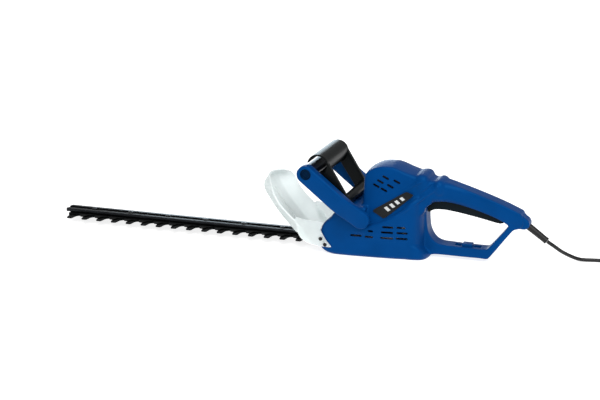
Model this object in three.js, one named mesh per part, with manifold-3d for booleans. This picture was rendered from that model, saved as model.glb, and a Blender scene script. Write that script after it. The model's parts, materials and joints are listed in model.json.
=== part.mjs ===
// Corded electric hedge trimmer, as a bench assembly of separate solids.
// Millimetres, +Z up, +X towards the cord, the left side of the tool at -Y.
// The origin is on the floor, under the middle of the length from blade tip to strain relief.
import * as THREE from 'three';
import { mergeVertices } from 'three/addons/utils/BufferGeometryUtils.js';
import Module from 'manifold-3d';

const wasm = await Module();
wasm.setup();

// ---------------------------------------------------------------- driving dimensions
const CENTRE_X = 8;             // moves the drawing so that zero is the middle of the whole tool
const TIP_X = -462;             // nose of the support bar
const BLADE_TIP_X = -452;
const TOOTH_PITCH = 30;
const FIRST_TOOTH_X = -411;
const TOOTH_COUNT = 15;
const TOOTH_REACH = 40;         // tip of a lower, blunt tooth from the middle plane
const CUTTER_REACH = 31;        // tip of an upper, cutting tooth
const CUTTER_LEAD = -7;         // how far the upper teeth stand ahead of the lower ones at rest
const TOOTH_ROOT = 19.5;
const BLADE_THICK = 2.2;
const LOWER_BLADE_Z = 13;       // underside of the lower blade
const UPPER_BLADE_Z = 15.5;     // underside of the upper blade
const BLADE_STROKE = 8;         // each way from rest, and the cams' offset
const BAR_Z = 18;               // underside of the support bar
const BAR_HEIGHT = 5.8;
const BAR_HALF = 14;
const BAR_END_X = 86;
const BOLT_PITCH = 75;
const FIRST_BOLT_X = -408;
const BOLT_COUNT = 6;

const GEAR_X = 130;             // gear pin axis
const MODULE_MM = 1.3;
const GEAR_TEETH = 54;
const PINION_TEETH = 9;
const MOTOR_X = GEAR_X + (MODULE_MM * (GEAR_TEETH + PINION_TEETH)) / 2;
const GEAR_Z = 22;
const GEAR_THICK = 9;

const WALL = 3;                 // housing wall
const SEAM = 0.15;              // half of the gap between the two shells
const GAP = 0.3;                // between touching pieces
const DOME_HALF = 31;
const BODY_HALF = 55;
const RING_HALF = 16;           // half width of the rear handle ring

const ARM_OUTER = 80;           // front handle arms, outer and inner faces
const ARM_INNER = 62;
const BOSS = { x: 36, z: 147, r: 15.3 };
const ARM_FOOT = { x: 131, z: 71 };
const TUBE_R = 12;
const PIVOT = { x: 101.5, z: 100, r: 9.2 };   // lower bar of the front switch bar
const GRIP = { x: 52, z: 160, r: 19.2 };  // its grip shell

const CORD_R = 3.25;

// ---------------------------------------------------------------- colours
const BLUE = [0x024b8c, 0.42, 0];
const NAVY = [0x0a1f4e, 0.4, 0];
const BLACK = [0x16191a, 0.5, 0];
const WHITE = [0xe9f0ee, 0.3, 0];
const STEEL = [0x9a9da0, 0.35, 0.9];
const DARK_STEEL = [0x1b1c1e, 0.4, 0.6];
const CAST = [0xa9abad, 0.6, 0.8];
const COPPER = [0xb1622e, 0.4, 0.8];
const BRASS = [0xb9953f, 0.35, 0.9];
const CREAM = [0xd8cfb4, 0.6, 0];

// ---------------------------------------------------------------- solids and booleans
function toSolid(geometry) {
  const bare = geometry.clone();
  bare.deleteAttribute('normal');
  bare.deleteAttribute('uv');
  const merged = mergeVertices(bare, 1e-4);
  return new wasm.Manifold(new wasm.Mesh({
    numProp: 3,
    vertProperties: Float32Array.from(merged.attributes.position.array),
    triVerts: Uint32Array.from(merged.index.array),
  }));
}

function toGeometry(solid) {
  const mesh = solid.getMesh();
  const geometry = new THREE.BufferGeometry();
  geometry.setAttribute('position', new THREE.BufferAttribute(mesh.vertProperties, 3));
  geometry.setIndex(new THREE.BufferAttribute(mesh.triVerts, 1));
  geometry.computeVertexNormals();
  return geometry;
}

const join = (first, ...rest) => rest.reduce((sum, piece) => sum.add(piece), first);
const cut = (first, ...rest) => rest.reduce((left, piece) => left.subtract(piece), first);

function shapeOf(points, holes = []) {
  const shape = new THREE.Shape(points.map(([a, b]) => new THREE.Vector2(a, b)));
  for (const hole of holes) {
    shape.holes.push(new THREE.Path(hole.map(([a, b]) => new THREE.Vector2(a, b))));
  }
  return shape;
}

// A plate drawn in X, Y and raised from z0 to z1.
function plate(points, z0, z1, holes = [], bevel = 0) {
  const geometry = new THREE.ExtrudeGeometry(shapeOf(points, holes), {
    depth: z1 - z0 - 2 * bevel,
    bevelEnabled: bevel > 0,
    bevelThickness: bevel,
    bevelSize: bevel,
    bevelOffset: -bevel,
    bevelSegments: 1,
    curveSegments: 1,
  });
  geometry.translate(0, 0, z0 + bevel);
  return toSolid(geometry);
}

// A prism drawn in X, Z and running from y0 to y1, its edges rounded by `bevel`.
function prismGeometry(points, y0, y1, holes = [], bevel = 0, segments = 2) {
  const geometry = new THREE.ExtrudeGeometry(shapeOf(points, holes), {
    depth: y1 - y0 - 2 * bevel,
    bevelEnabled: bevel > 0,
    bevelThickness: bevel,
    bevelSize: bevel,
    bevelOffset: -bevel,
    bevelSegments: segments,
    curveSegments: 1,
  });
  geometry.rotateX(Math.PI / 2);
  geometry.translate(0, y1 - bevel, 0);
  return geometry;
}

const prism = (...shape) => toSolid(prismGeometry(...shape));

function box(x0, x1, y0, y1, z0, z1) {
  const geometry = new THREE.BoxGeometry(x1 - x0, y1 - y0, z1 - z0);
  geometry.translate((x0 + x1) / 2, (y0 + y1) / 2, (z0 + z1) / 2);
  return toSolid(geometry);
}

const circle = (x, y, r, sides, start = 0) => Array.from({ length: sides }, (_, i) => {
  const a = start + (2 * Math.PI * i) / sides;
  return [x + r * Math.cos(a), y + r * Math.sin(a)];
});

const rod = {
  y: (x, z, r, y0, y1, sides = 16) => prism(circle(x, z, r, sides), y0, y1),
  z: (x, y, r, z0, z1, sides = 16) => plate(circle(x, y, r, sides), z0, z1),
};

// A rod between two points, its radius changing from r0 to r1.
function strut(from, to, r0, r1, sides = 12) {
  const a = new THREE.Vector3(...from);
  const b = new THREE.Vector3(...to);
  const geometry = new THREE.CylinderGeometry(r1, r0, a.distanceTo(b), sides);
  geometry.applyQuaternion(new THREE.Quaternion().setFromUnitVectors(
    new THREE.Vector3(0, 1, 0), b.clone().sub(a).normalize()));
  geometry.translate((a.x + b.x) / 2, (a.y + b.y) / 2, (a.z + b.z) / 2);
  return toSolid(geometry);
}

// A solid through a row of rings that all have the same number of points.
function skin(rings) {
  const count = rings[0].length;
  const positions = rings.flat(2);
  const index = [];
  for (let i = 0; i + 1 < rings.length; i += 1) {
    for (let j = 0; j < count; j += 1) {
      const a = i * count + j;
      const b = i * count + ((j + 1) % count);
      index.push(a, b, b + count, a, b + count, a + count);
    }
  }
  const last = (rings.length - 1) * count;
  for (let j = 1; j + 1 < count; j += 1) {
    index.push(0, j + 1, j, last, last + j, last + j + 1);
  }
  const geometry = new THREE.BufferGeometry();
  geometry.setAttribute('position', new THREE.BufferAttribute(Float32Array.from(positions), 3));
  geometry.setIndex(index);
  return toSolid(geometry);
}

// One cross-section of the housing at x: half width w at the top and `foot` at the bottom, rounded at
// its lower and upper corners, its top crowned.
function section({ x, w, foot = w, z0, z1, low = 6, high = 7, crown = 0 }) {
  const steps = 2;
  const ring = [];
  const corner = (cy, cz, r, from) => {
    for (let i = 0; i <= steps; i += 1) {
      const a = from + (Math.PI / 2) * (i / steps);
      ring.push([x, cy + r * Math.cos(a), cz + r * Math.sin(a)]);
    }
  };
  corner(foot - low, z0 + low, low, -Math.PI / 2);
  corner(w - high, z1 - crown - high, high, 0);
  for (const t of [0.5, 0, -0.5]) {
    ring.push([x, t * (w - high), z1 - crown * t * t]);
  }
  corner(-(w - high), z1 - crown - high, high, Math.PI / 2);
  corner(-(foot - low), z0 + low, low, Math.PI);
  return ring;
}

const loft = (stations) => skin(stations.map(section));

// The same stations drawn in by the wall, for the hollow inside.
function hollow(stations, wall) {
  const inner = stations.map((s) => ({
    ...s,
    w: s.w - wall,
    foot: (s.foot ?? s.w) - wall,
    z0: s.z0 + wall,
    z1: s.z1 - wall,
    low: Math.max(1, (s.low ?? 6) - wall),
    high: Math.max(1, (s.high ?? 7) - wall),
  }));
  inner[0].x += wall;
  inner[inner.length - 1].x -= wall;
  return loft(inner.filter((s) => s.z1 - s.z0 > 4));
}

// ---------------------------------------------------------------- housing form
const LOWER_BODY = [
  { x: 55, w: 51, z0: 10, z1: 46 },
  { x: 60, w: 53.5, z0: 6, z1: 55 },
  { x: 70, w: BODY_HALF, z0: 2, z1: 64 },
  { x: 83, w: BODY_HALF, z0: 0, z1: 73 },
  { x: 98, w: BODY_HALF, z0: 0, z1: 71 },
  { x: 120, w: 54, z0: 0, z1: 58, high: 5 },
  { x: 134, w: 53, z0: 0, z1: 57, high: 5 },
  { x: 148, w: 52, z0: 0, z1: 61, high: 5 },
  { x: 165, w: 50.5, z0: 0, z1: 67, high: 5 },
  { x: 180, w: 49, z0: 0, z1: 76, high: 6 },
  { x: 200, w: 47, z0: 0, z1: 92, low: 7, high: 8 },
  { x: 212, w: 45, z0: 0, z1: 105, low: 8, high: 11 },
  { x: 221, w: 40.5, z0: 0, z1: 113, low: 9, high: 12 },
  { x: 227, w: 33, z0: 1, z1: 117, low: 10, high: 12 },
  { x: 231, w: 24, z0: 2.5, z1: 118, low: 10, high: 12 },
  { x: 233, w: 16, z0: 4, z1: 118, low: 9, high: 11 },
];
const FOOT = [
  { x: 196, w: 45, z0: 0, z1: 30 },
  { x: 212, w: 45.5, z0: 0, z1: 30 },
  { x: 226, w: 43.5, z0: 0, z1: 25 },
  { x: 234, w: 39.5, z0: 0, z1: 18 },
  { x: 239, w: 32, z0: 0.5, z1: 12, low: 4, high: 5 },
  { x: 242.5, w: 20, z0: 1.5, z1: 9.5, low: 3, high: 3 },
];
const BRACKET = [
  { x: 76, w: 53, z0: 40, z1: 72, high: 5 },
  { x: 90, w: BODY_HALF, z0: 40, z1: 84, high: 5 },
  { x: 104, w: BODY_HALF, z0: 40, z1: 90, high: 5 },
  { x: 136, w: BODY_HALF, z0: 40, z1: 90, high: 5 },
];
const DOME = [
  { x: 127, w: 29.5, foot: 43, z0: 50, z1: 142, high: 5, crown: 1.5 },
  { x: 131, w: DOME_HALF, foot: 44.5, z0: 50, z1: 149, high: 5, crown: 2 },
  { x: 138, w: DOME_HALF, foot: 45, z0: 50, z1: 154, high: 5, crown: 2 },
  { x: 148, w: DOME_HALF, foot: 45.5, z0: 50, z1: 158.8, high: 5, crown: 2 },
  { x: 160, w: DOME_HALF, foot: 45.5, z0: 50, z1: 161, high: 5, crown: 2 },
  { x: 174, w: DOME_HALF, foot: 45.5, z0: 50, z1: 161.4, high: 5, crown: 2 },
  { x: 184, w: DOME_HALF, foot: 45, z0: 50, z1: 159.3, high: 5, crown: 2 },
  { x: 200, w: DOME_HALF, foot: 43, z0: 55, z1: 153.8, high: 6, crown: 2 },
  { x: 222, w: 30, foot: 36, z0: 70, z1: 147.6, high: 8, crown: 2 },
  { x: 246, w: 27, foot: 28, z0: 98, z1: 139.5, high: 10, crown: 1 },
];
const GRIP_ROOT = [
  { x: 206, w: 40, z0: 60, z1: 96, low: 10, high: 10 },
  { x: 220, w: 36, z0: 70, z1: 109, low: 10, high: 12 },
  { x: 236, w: 30.5, z0: 90, z1: 126, low: 10, high: 12 },
  { x: 248, w: 27, z0: 102, z1: 139, low: 9, high: 12 },
  { x: 270, w: 22.5, z0: 103, z1: 136.5, low: 8, high: 11 },
  { x: 291, w: 19, z0: 100, z1: 130.5, low: 7, high: 9 },
  { x: 320, w: 17, z0: 93, z1: 121.6, low: 7, high: 8 },
  { x: 361, w: 16.5, z0: 79.5, z1: 108, low: 7, high: 8 },
  { x: 396, w: 16.5, z0: 67, z1: 93.6, low: 7, high: 8 },
  { x: 406, w: 16.5, z0: 66, z1: 88, low: 7, high: 8 },
];
const RIDGES = [
  [{ x: 217, w: 28.5 }, { x: 222, w: 32 }, { x: 233, w: 31 }, { x: 241, w: 26.5 }],
  [{ x: 250, w: 25.5 }, { x: 254, w: 27.5 }, { x: 260, w: 27 }, { x: 267, w: 22 }],
];
const RIDGE_TOPS = [[147.5, 151, 150.3, 141.5], [138, 142.4, 142.4, 136]];
RIDGES.forEach((ridge, i) => ridge.forEach((station, j) => {
  Object.assign(station, { z0: 112, z1: RIDGE_TOPS[i][j], low: 9, high: 11, crown: 1 });
}));
const RING_OUTER = [
  [228, 3], [243, 5], [256, 7], [305, 6.5], [332, 7], [342, 6], [346, 8], [384, 60], [389, 64],
  [407, 66], [413.5, 72.5], [414, 80.5], [407, 87.5], [403, 90.5], [396, 93.6], [361, 108], [320, 121.6],
  [291, 130.5], [262, 138], [240, 126], [220, 106],
];
const RING_HOLE = [
  [232.8, 88], [232.6, 72], [233.4, 52], [236.5, 42], [242, 33.5], [249, 27.5], [258, 24.8], [270, 23.8],
  [340, 22.4], [344.5, 25], [379, 68], [378, 71], [361, 79.5], [329, 90.5], [294, 99.5], [268, 103],
  [248, 100.5], [237.5, 94],
];
const BAR_HOLLOW = [[216, 9], [246, 11], [334, 10.5], [337, 12.5], [335, 18.5], [262, 20.5], [246, 24], [216, 24]];
const GRIP_HOLLOW = [
  [210, 78], [229, 92], [240, 102], [252, 105.5], [268, 106], [294, 102.5], [329, 93.5], [361, 82.5],
  [386, 71], [404, 70], [410, 75], [410, 79.5], [404, 84.5], [394, 90], [361, 104.5], [320, 118],
  [291, 127], [262, 134], [240, 122], [210, 98],
];
const TRIGGER_SLOT = [
  [228, 84], [374.5, 68], [374.5, 79], [368, 88], [329, 99], [294, 108], [262, 115], [245, 115], [236, 102],
  [228, 96],
];
const CORD_EXIT = { x: 409, z: 69, r: 6.9 };   // where the strain relief sits in the nose
const RELIEF_DIRECTION = new THREE.Vector3(36, 0, -26).normalize();

// Housing screws: place, and how far from the middle plane the head sits in its recess.
const SCREWS = [
  { x: 70, z: 52, y: 38 }, { x: 222, z: 20, y: 22 }, { x: 212, z: 90, y: 29 }, { x: 257, z: 124, y: 17 },
  { x: 340, z: 104.5, y: 10 }, { x: 384, z: 87, y: 10 }, { x: 264, z: 15.5, y: 9 }, { x: 330, z: 14.5, y: 9 },
];
const SCREW_TIP_Y = -6;
const TRIGGER_PIN = { x: 252, z: 109, r: 2 };

const slot = (x, z, length, height, tilt) => {
  const c = Math.cos(tilt);
  const s = Math.sin(tilt);
  return [[-1, -1], [1, -1], [1, 1], [-1, 1]].map(([a, b]) => {
    const u = (a * length) / 2;
    const v = (b * height) / 2;
    return [x + u * c - v * s, z + u * s + v * c];
  });
};
const DOME_VENTS = [
  [166, 141], [157, 133.5], [150, 126], [186, 135.5], [175, 127], [164, 120],
].map(([x, z]) => slot(x, z, 12, 3.2, -0.42));
const BODY_VENTS = [
  [175.5, 57.5, 19], [198.5, 58, 15], [174.5, 48, 21], [200.5, 48.5, 19], [174, 38, 22], [200, 38.5, 20],
  [145.5, 48.5, 9], [120, 39, 20], [143, 38, 14],
].map(([x, z, length]) => slot(x, z, length, 3.2, 0));

function housing() {
  let outer = join(loft(LOWER_BODY), loft(BRACKET), loft(DOME), loft(GRIP_ROOT), loft(FOOT), ...RIDGES.map(loft));
  outer = join(outer, prism(RING_OUTER, -RING_HALF, RING_HALF, [], 5, 2));
  outer = cut(outer, prism(RING_HOLE, -60, 60));
  const restraint = box(297, 315, -8, 8, 20, 27.6);
  outer = join(outer, restraint);

  const inner = join(
    hollow(LOWER_BODY, WALL), hollow(BRACKET, WALL), hollow(DOME, WALL), hollow(GRIP_ROOT, 2.6),
    prism(GRIP_HOLLOW, -13, 13), prism(BAR_HOLLOW, -12, 12));
  const pocket = (x0, x1) => plate(slot((x0 + x1) / 2, 0, x1 - x0, 17, 0), 19.5, 40);
  const mouth = box(50, 60, -45.5, 45.5, 11.5, 44);
  const trigger = prism(TRIGGER_SLOT, -8.6, 8.6);
  const exitEnd = RELIEF_DIRECTION.clone().multiplyScalar(20);
  const exit = strut([CORD_EXIT.x - exitEnd.x, 0, CORD_EXIT.z - exitEnd.z],
    [CORD_EXIT.x + exitEnd.x, 0, CORD_EXIT.z + exitEnd.z], CORD_EXIT.r, CORD_EXIT.r, 12);
  const ribs = SCREWS.map(({ x, z }) => rod.y(x, z, 5.2, -60, 60, 10));
  for (const side of [-1, 1]) {
    const [y0, y1] = [side * 8.9, side * 40].sort((a, b) => a - b);
    ribs.push(rod.y(TRIGGER_PIN.x, TRIGGER_PIN.z, 4.5, y0, y1, 10));
  }
  let shell = cut(outer, cut(inner, ...ribs));
  shell = cut(shell, mouth, trigger, exit, pocket(284, 295), pocket(317, 330));
  for (const vent of DOME_VENTS) shell = cut(shell, prism(vent, -60, 60));
  for (const vent of BODY_VENTS) shell = cut(shell, prism(vent, -60, -38), prism(vent, 38, 60));
  const pins = SCREWS.map(({ x, z, y }) => join(
    rod.y(x, z, 2.5, SCREW_TIP_Y - 1, y + 1, 10), rod.y(x, z, 4.6, y, 70, 12)));
  const lugWell = box(91, 113, -5.5, 5.5, 60, 95);
  const guardHoles = GUARD_SCREWS.map(([x, z]) => rod.y(x, z, 1.9, -60, 60, 8));
  const pinBore = rod.y(TRIGGER_PIN.x, TRIGGER_PIN.z, TRIGGER_PIN.r + GAP, -13.5, 13.5, 10);
  return cut(shell, ...pins, ...guardHoles, lugWell, pinBore);
}

// ---------------------------------------------------------------- front handle
const smooth = (t) => {
  const c = Math.min(1, Math.max(0, t));
  return c * c * (3 - 2 * c);
};
const ARM_DX = ARM_FOOT.x - BOSS.x;
const ARM_DZ = ARM_FOOT.z - BOSS.z;
const ARM_LENGTH = Math.hypot(ARM_DX, ARM_DZ);
const ARM_ANGLE = Math.atan2(ARM_DZ, ARM_DX);

// A point s along the arm from the boss and t above its middle line.
const onArm = (s, t) => [
  BOSS.x + s * Math.cos(ARM_ANGLE) - t * Math.sin(ARM_ANGLE),
  BOSS.z + s * Math.sin(ARM_ANGLE) + t * Math.cos(ARM_ANGLE),
];

// An arm is 18 mm thick at the boss; its foot thins and bends in to lie on the housing's side.
function armRing(s) {
  const past = Math.max(-s, s - ARM_LENGTH, 0);
  const half = Math.sqrt(BOSS.r ** 2 - past ** 2);
  const inner = ARM_INNER + smooth((s - 92) / 20) * (BODY_HALF + GAP - ARM_INNER);
  const outer = ARM_OUTER + smooth((s - 70) / 60) * (66 - ARM_OUTER);
  const c = Math.min(2.2, half * 0.5);
  const corners = [
    [outer - c, -half], [outer, c - half], [outer, half - c], [outer - c, half],
    [inner + c, half], [inner, half - c], [inner, c - half], [inner + c, -half],
  ];
  return corners.map(([y, t]) => {
    const [x, z] = onArm(s, t);
    return [x, y, z];
  });
}

function arm(side) {
  const turns = [12, 26, 42, 60, 78].map((degrees) => BOSS.r * Math.cos((degrees * Math.PI) / 180));
  const stops = [...turns.map((d) => -d), 0, 40, 72, 82, 90, 98, 106, 114, ARM_LENGTH,
    ...turns.toReversed().map((d) => ARM_LENGTH + d)];
  const solid = cut(skin(stops.map(armRing)),
    rod.y(BOSS.x, BOSS.z, TUBE_R + GAP, ARM_INNER - 2, ARM_INNER + 8.3, 24),
    rod.y(BOSS.x, BOSS.z, 9.8, ARM_OUTER - 4, ARM_OUTER + 2, 24),
    rod.y(PIVOT.x, PIVOT.z, 2.8, ARM_INNER - 5, ARM_INNER + 6, 10));
  return side > 0 ? solid : mirrored(solid);
}

// The same solid on the other side of the middle plane.
function mirrored(solid) {
  const geometry = toGeometry(solid);
  const position = geometry.attributes.position;
  for (let i = 0; i < position.count; i += 1) position.setY(i, -position.getY(i));
  const index = Array.from(geometry.index.array);
  for (let i = 0; i < index.length; i += 3) [index[i], index[i + 1]] = [index[i + 1], index[i]];
  geometry.setIndex(index);
  return toSolid(geometry);
}

// ---------------------------------------------------------------- front switch bar
const BAR_SIDE = 61.5;          // outer face of its legs
const LEG_INNER = 51.5;
const SQUEEZE = 6.2;            // how far the grip shell closes over the tube

function switchBar() {
  const towards = Math.atan2(GRIP.z - BOSS.z, GRIP.x - BOSS.x);
  const closing = Math.atan2(PIVOT.x - BOSS.x, BOSS.z - PIVOT.z);   // square to the line from the pivot
  const room = TUBE_R + 0.8;
  const halfRound = (shift, way, from) => Array.from({ length: 9 }, (_, i) => {
    const a = way + from + (Math.PI * i) / 8;
    return [BOSS.x + shift * Math.cos(way) + room * Math.cos(a),
      BOSS.z + shift * Math.sin(way) + room * Math.sin(a)];
  });
  const tubeRoom = [...halfRound(-12, towards, Math.PI / 2), ...halfRound(SQUEEZE, closing, -Math.PI / 2)];
  const grip = rod.y(GRIP.x, GRIP.z, GRIP.r, -BAR_SIDE, BAR_SIDE, 28);
  const openEnds = rod.y(GRIP.x, GRIP.z, GRIP.r - 3, -70, 70, 24);
  const leg = [[66, 172], [101.5, 114], [109.5, 104], [110, 97], [94, 94], [89, 97], [58, 146], [50, 152]];
  const pivotBar = rod.y(PIVOT.x, PIVOT.z, PIVOT.r, -BAR_SIDE, BAR_SIDE, 20);
  const lug = prism([[97, 70], [105, 70], [106, 96], [97, 96]], -4, 4);
  const frame = join(grip, prism(leg, LEG_INNER, BAR_SIDE), prism(leg, -BAR_SIDE, -LEG_INNER), pivotBar, lug);
  return cut(frame, openEnds, prism(tubeRoom, -70, 70), rod.y(PIVOT.x, PIVOT.z, 2.8, -70, 70, 12));
}

// ---------------------------------------------------------------- guard
const GUARD_THICK = 3;
const GUARD_HALF = 60;
const GUARD_SCREWS = [[57, 28], [65, 18]];
const GUARD_WRAP = 22;          // how far the side and top walls reach back
const GUARD_LINE = new THREE.CatmullRomCurve3([
  [27, 0, 21], [1, 0, 43], [-26, 0, 69], [-44, 0, 96], [-57, 0, 127],
].map((p) => new THREE.Vector3(...p)));

// A point of the guard's front face: v runs across (-1 to 1 at the rim), u from the bottom to the top rim.
function guardPoint(y, u, rim) {
  const line = GUARD_LINE.getPoint(Math.min(1, Math.max(0, u)));
  const wrap = GUARD_WRAP * smooth((rim - 0.7) / 0.3) ** 0.9;
  return new THREE.Vector3(line.x + wrap + 4 * rim * rim, y, line.z - 0.12 * wrap);
}

// The shield is laid out on rays from a spine to its U-shaped rim.
function guard() {
  const across = 7;
  const shoulder = 0.76;
  const rimAt = [];
  const steps = 5;
  for (let i = 0; i <= steps; i += 1) rimAt.push([-1, (shoulder * i) / steps, (shoulder * i) / steps]);
  const turn = 12;
  for (let i = 1; i < turn; i += 1) {
    const a = Math.PI - (Math.PI * i) / turn;
    rimAt.push([Math.cos(a), shoulder + (1 - shoulder) * Math.sin(a) ** 0.8, shoulder]);
  }
  for (let i = steps; i >= 0; i -= 1) rimAt.push([1, (shoulder * i) / steps, (shoulder * i) / steps]);
  const front = rimAt.map(([v, u, spine]) => Array.from({ length: across + 1 }, (_, k) => {
    const t = k / across;
    const narrow = 1 - 0.06 * (1 - u);
    return guardPoint(v * t * GUARD_HALF * narrow, spine + (u - spine) * t, t);
  }));
  const at = (grid, i, k) => grid[Math.min(rimAt.length - 1, Math.max(0, i))][Math.min(across, Math.max(0, k))];
  const back = front.map((row, i) => row.map((point, k) => {
    const along = at(front, i + 1, Math.max(1, k)).clone().sub(at(front, i - 1, Math.max(1, k)));
    const out = at(front, i, k + 1).clone().sub(at(front, i, k - 1));
    const normal = out.cross(along).normalize();
    if (k === 0) normal.set(0.8, 0, 0.6);
    return point.clone().addScaledVector(normal, GUARD_THICK);
  }));
  const quads = [];
  for (let i = 0; i + 1 < rimAt.length; i += 1) {
    for (let k = 0; k < across; k += 1) {
      quads.push([front[i][k], front[i][k + 1], front[i + 1][k + 1], front[i + 1][k]]);
      quads.push([back[i][k], back[i + 1][k], back[i + 1][k + 1], back[i][k + 1]]);
    }
    quads.push([front[i][across], back[i][across], back[i + 1][across], front[i + 1][across]]);
  }
  const last = rimAt.length - 1;
  for (let k = 0; k < across; k += 1) {
    quads.push([front[0][k + 1], front[0][k], back[0][k], back[0][k + 1]]);
    quads.push([front[last][k], front[last][k + 1], back[last][k + 1], back[last][k]]);
  }
  const triangles = quads.flatMap(([a, b, c, d]) => [[a, c, b], [a, d, c]])
    .filter(([a, b, c]) => a.distanceTo(b) > 1e-3 && b.distanceTo(c) > 1e-3 && c.distanceTo(a) > 1e-3);
  const tray = toSolid(new THREE.BufferGeometry().setFromPoints(triangles.flat()));
  // A tab on each side reaches back over the housing and carries two screws.
  const tab = [[22, 34], [30, 25], [42, 17.5], [56, 14], [78, 13.5], [66, 27], [57.5, 42], [57, 47], [64, 59], [50, 56], [24, 44]];
  const tabs = [-1, 1].map((side) => {
    const [y0, y1] = [side * (BODY_HALF + GAP), side * (BODY_HALF + GAP + 2.6)].sort((a, b) => a - b);
    return prism(tab, y0, y1);
  });
  const holes = GUARD_SCREWS.map(([x, z]) => rod.y(x, z, 2.3, -70, 70, 10));
  // A window in the middle lets the bar and the blades through.
  const window = box(0, 70, -43, 43, 0, 30);
  return cut(join(tray, ...tabs), ...holes, window);
}

// ---------------------------------------------------------------- cutting bar
const toothX = (i) => FIRST_TOOTH_X + i * TOOTH_PITCH;
const boltX = (i) => FIRST_BOLT_X + i * BOLT_PITCH;
const slotHole = (x, half, r) => [
  ...circle(x + half, 0, r, 8, -Math.PI / 2).slice(0, 5), ...circle(x - half, 0, r, 8, Math.PI / 2).slice(0, 5),
];

// One blade: teeth with rounded gullets on both edges, slots for the bolts, and a yoke around its cam.
function blade(z, firstTooth, reach, lead) {
  const half = [];
  for (let i = firstTooth; i < TOOTH_COUNT; i += 1) {
    const flank = [[13, TOOTH_ROOT], [9, TOOTH_ROOT + 2], [6.6, TOOTH_ROOT + 6], [4.6, reach]];
    const x = toothX(i) + lead;
    flank.forEach(([out, y]) => half.push([Math.max(BLADE_TIP_X, x - out), y]));
    flank.toReversed().forEach(([out, y]) => half.push([x + out, y]));
  }
  if (lead) half.unshift([BLADE_TIP_X, TOOTH_ROOT]);
  const yoke = { x: GEAR_X, inner: 23, outer: 30, reach: 8 };
  half.push([58, 13.5], [58, 9], [GEAR_X - yoke.outer - yoke.reach + 2, 9],
    [GEAR_X - yoke.outer - yoke.reach + 6, 22], [GEAR_X - 20, yoke.outer], [GEAR_X + 20, yoke.outer],
    [GEAR_X + yoke.outer + 4, 22], [GEAR_X + yoke.outer + yoke.reach, 12]);
  const outline = [...half, ...half.toReversed().map(([x, y]) => [x, -y])].toReversed();
  const slots = Array.from({ length: BOLT_COUNT }, (_, i) => slotHole(boltX(i), BLADE_STROKE + 0.6, 3.4));
  slots.push(slotHole(68, BLADE_STROKE + 0.6, 3.4));
  const opening = [[-31, -15], [-24, -23], [24, -23], [31, -15], [31, 15], [24, 23], [-24, 23], [-31, 15]]
    .map(([x, y]) => [GEAR_X + x, y]);
  return plate(outline, z, z + BLADE_THICK, [...slots, opening]);
}

function supportBar() {
  const nose = Array.from({ length: 9 }, (_, i) => {
    const a = Math.PI / 2 + (Math.PI * i) / 8;
    return [TIP_X + 0.25 * BAR_HALF * (1 + Math.cos(a)), BAR_HALF * Math.sin(a)];
  });
  const outline = [...nose, [BAR_END_X, -BAR_HALF], [BAR_END_X, BAR_HALF]];
  const holes = Array.from({ length: BOLT_COUNT }, (_, i) => circle(boltX(i), 0, 2.9, 10));
  holes.push(circle(68, 0, 2.9, 10));
  const bar = plate(outline, BAR_Z, BAR_Z + BAR_HEIGHT, holes, 1);
  return cut(bar, box(TIP_X - 5, BAR_END_X + 5, -6.2, 6.2, BAR_Z + BAR_HEIGHT - 2.2, 60),
    box(TIP_X + 18, BAR_END_X + 5, -7.5, 7.5, 0, BAR_Z + 1));
}

// A shouldered bolt: its head under the lower blade, its nut in the bar's groove.
const bolt = (x) => join(
  rod.z(x, 0, 6, LOWER_BLADE_Z - 3.3, LOWER_BLADE_Z - GAP, 10),
  rod.z(x, 0, 2.5, LOWER_BLADE_Z - 1, BAR_Z + BAR_HEIGHT - 1, 10),
  rod.z(x, 0, 5.4, BAR_Z + BAR_HEIGHT - 1.9, BAR_Z + BAR_HEIGHT + 1.2, 6));

// ---------------------------------------------------------------- gearbox
const BASE = { x0: 78, x1: 200, half: 42, z0: 4, floor: 9.2 };
const WALL_TOP = 35.7;

function gearboxBase() {
  const floor = box(BASE.x0, BASE.x1, -BASE.half, BASE.half, BASE.z0, BASE.floor);
  const apron = box(66, BASE.x0 + 1, -BASE.half, BASE.half, 7, BASE.floor);
  const rear = box(BASE.x1 - 5, BASE.x1, -30, 30, BASE.floor - 1, WALL_TOP);
  const sides = [-1, 1].map((side) => {
    const [y0, y1] = [side * 38.5, side * BASE.half].sort((a, b) => a - b);
    return box(78, 186, y0, y1, BASE.floor - 1, WALL_TOP);
  });
  const frontBlocks = [-1, 1].map((side) => {
    const [y0, y1] = [side * 17, side * 38.6].sort((a, b) => a - b);
    return box(66, 80, y0, y1, BASE.floor - 1, WALL_TOP);
  });
  const body = join(floor, apron, rear, ...sides, ...frontBlocks);
  return cut(body, rod.z(GEAR_X, 0, 4.3, -5, 20, 16), rod.z(68, 0, 6.6, -5, 20, 12));
}

function gearboxCover() {
  const bore = 12.4;
  const corners = [[66, -42], [186, -42], [200, -32], [200, 32], [186, 42], [66, 42]];
  const cover = plate(corners, WALL_TOP + GAP, WALL_TOP + GAP + 5, [
    circle(GEAR_X, 0, 4.3, 16), circle(MOTOR_X, 0, bore, 20),
  ]);
  const seat = plate(circle(MOTOR_X, 0, 16, 20), WALL_TOP + 4, WALL_TOP + 12, [circle(MOTOR_X, 0, bore, 20)]);
  return join(cover, seat);
}

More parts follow.
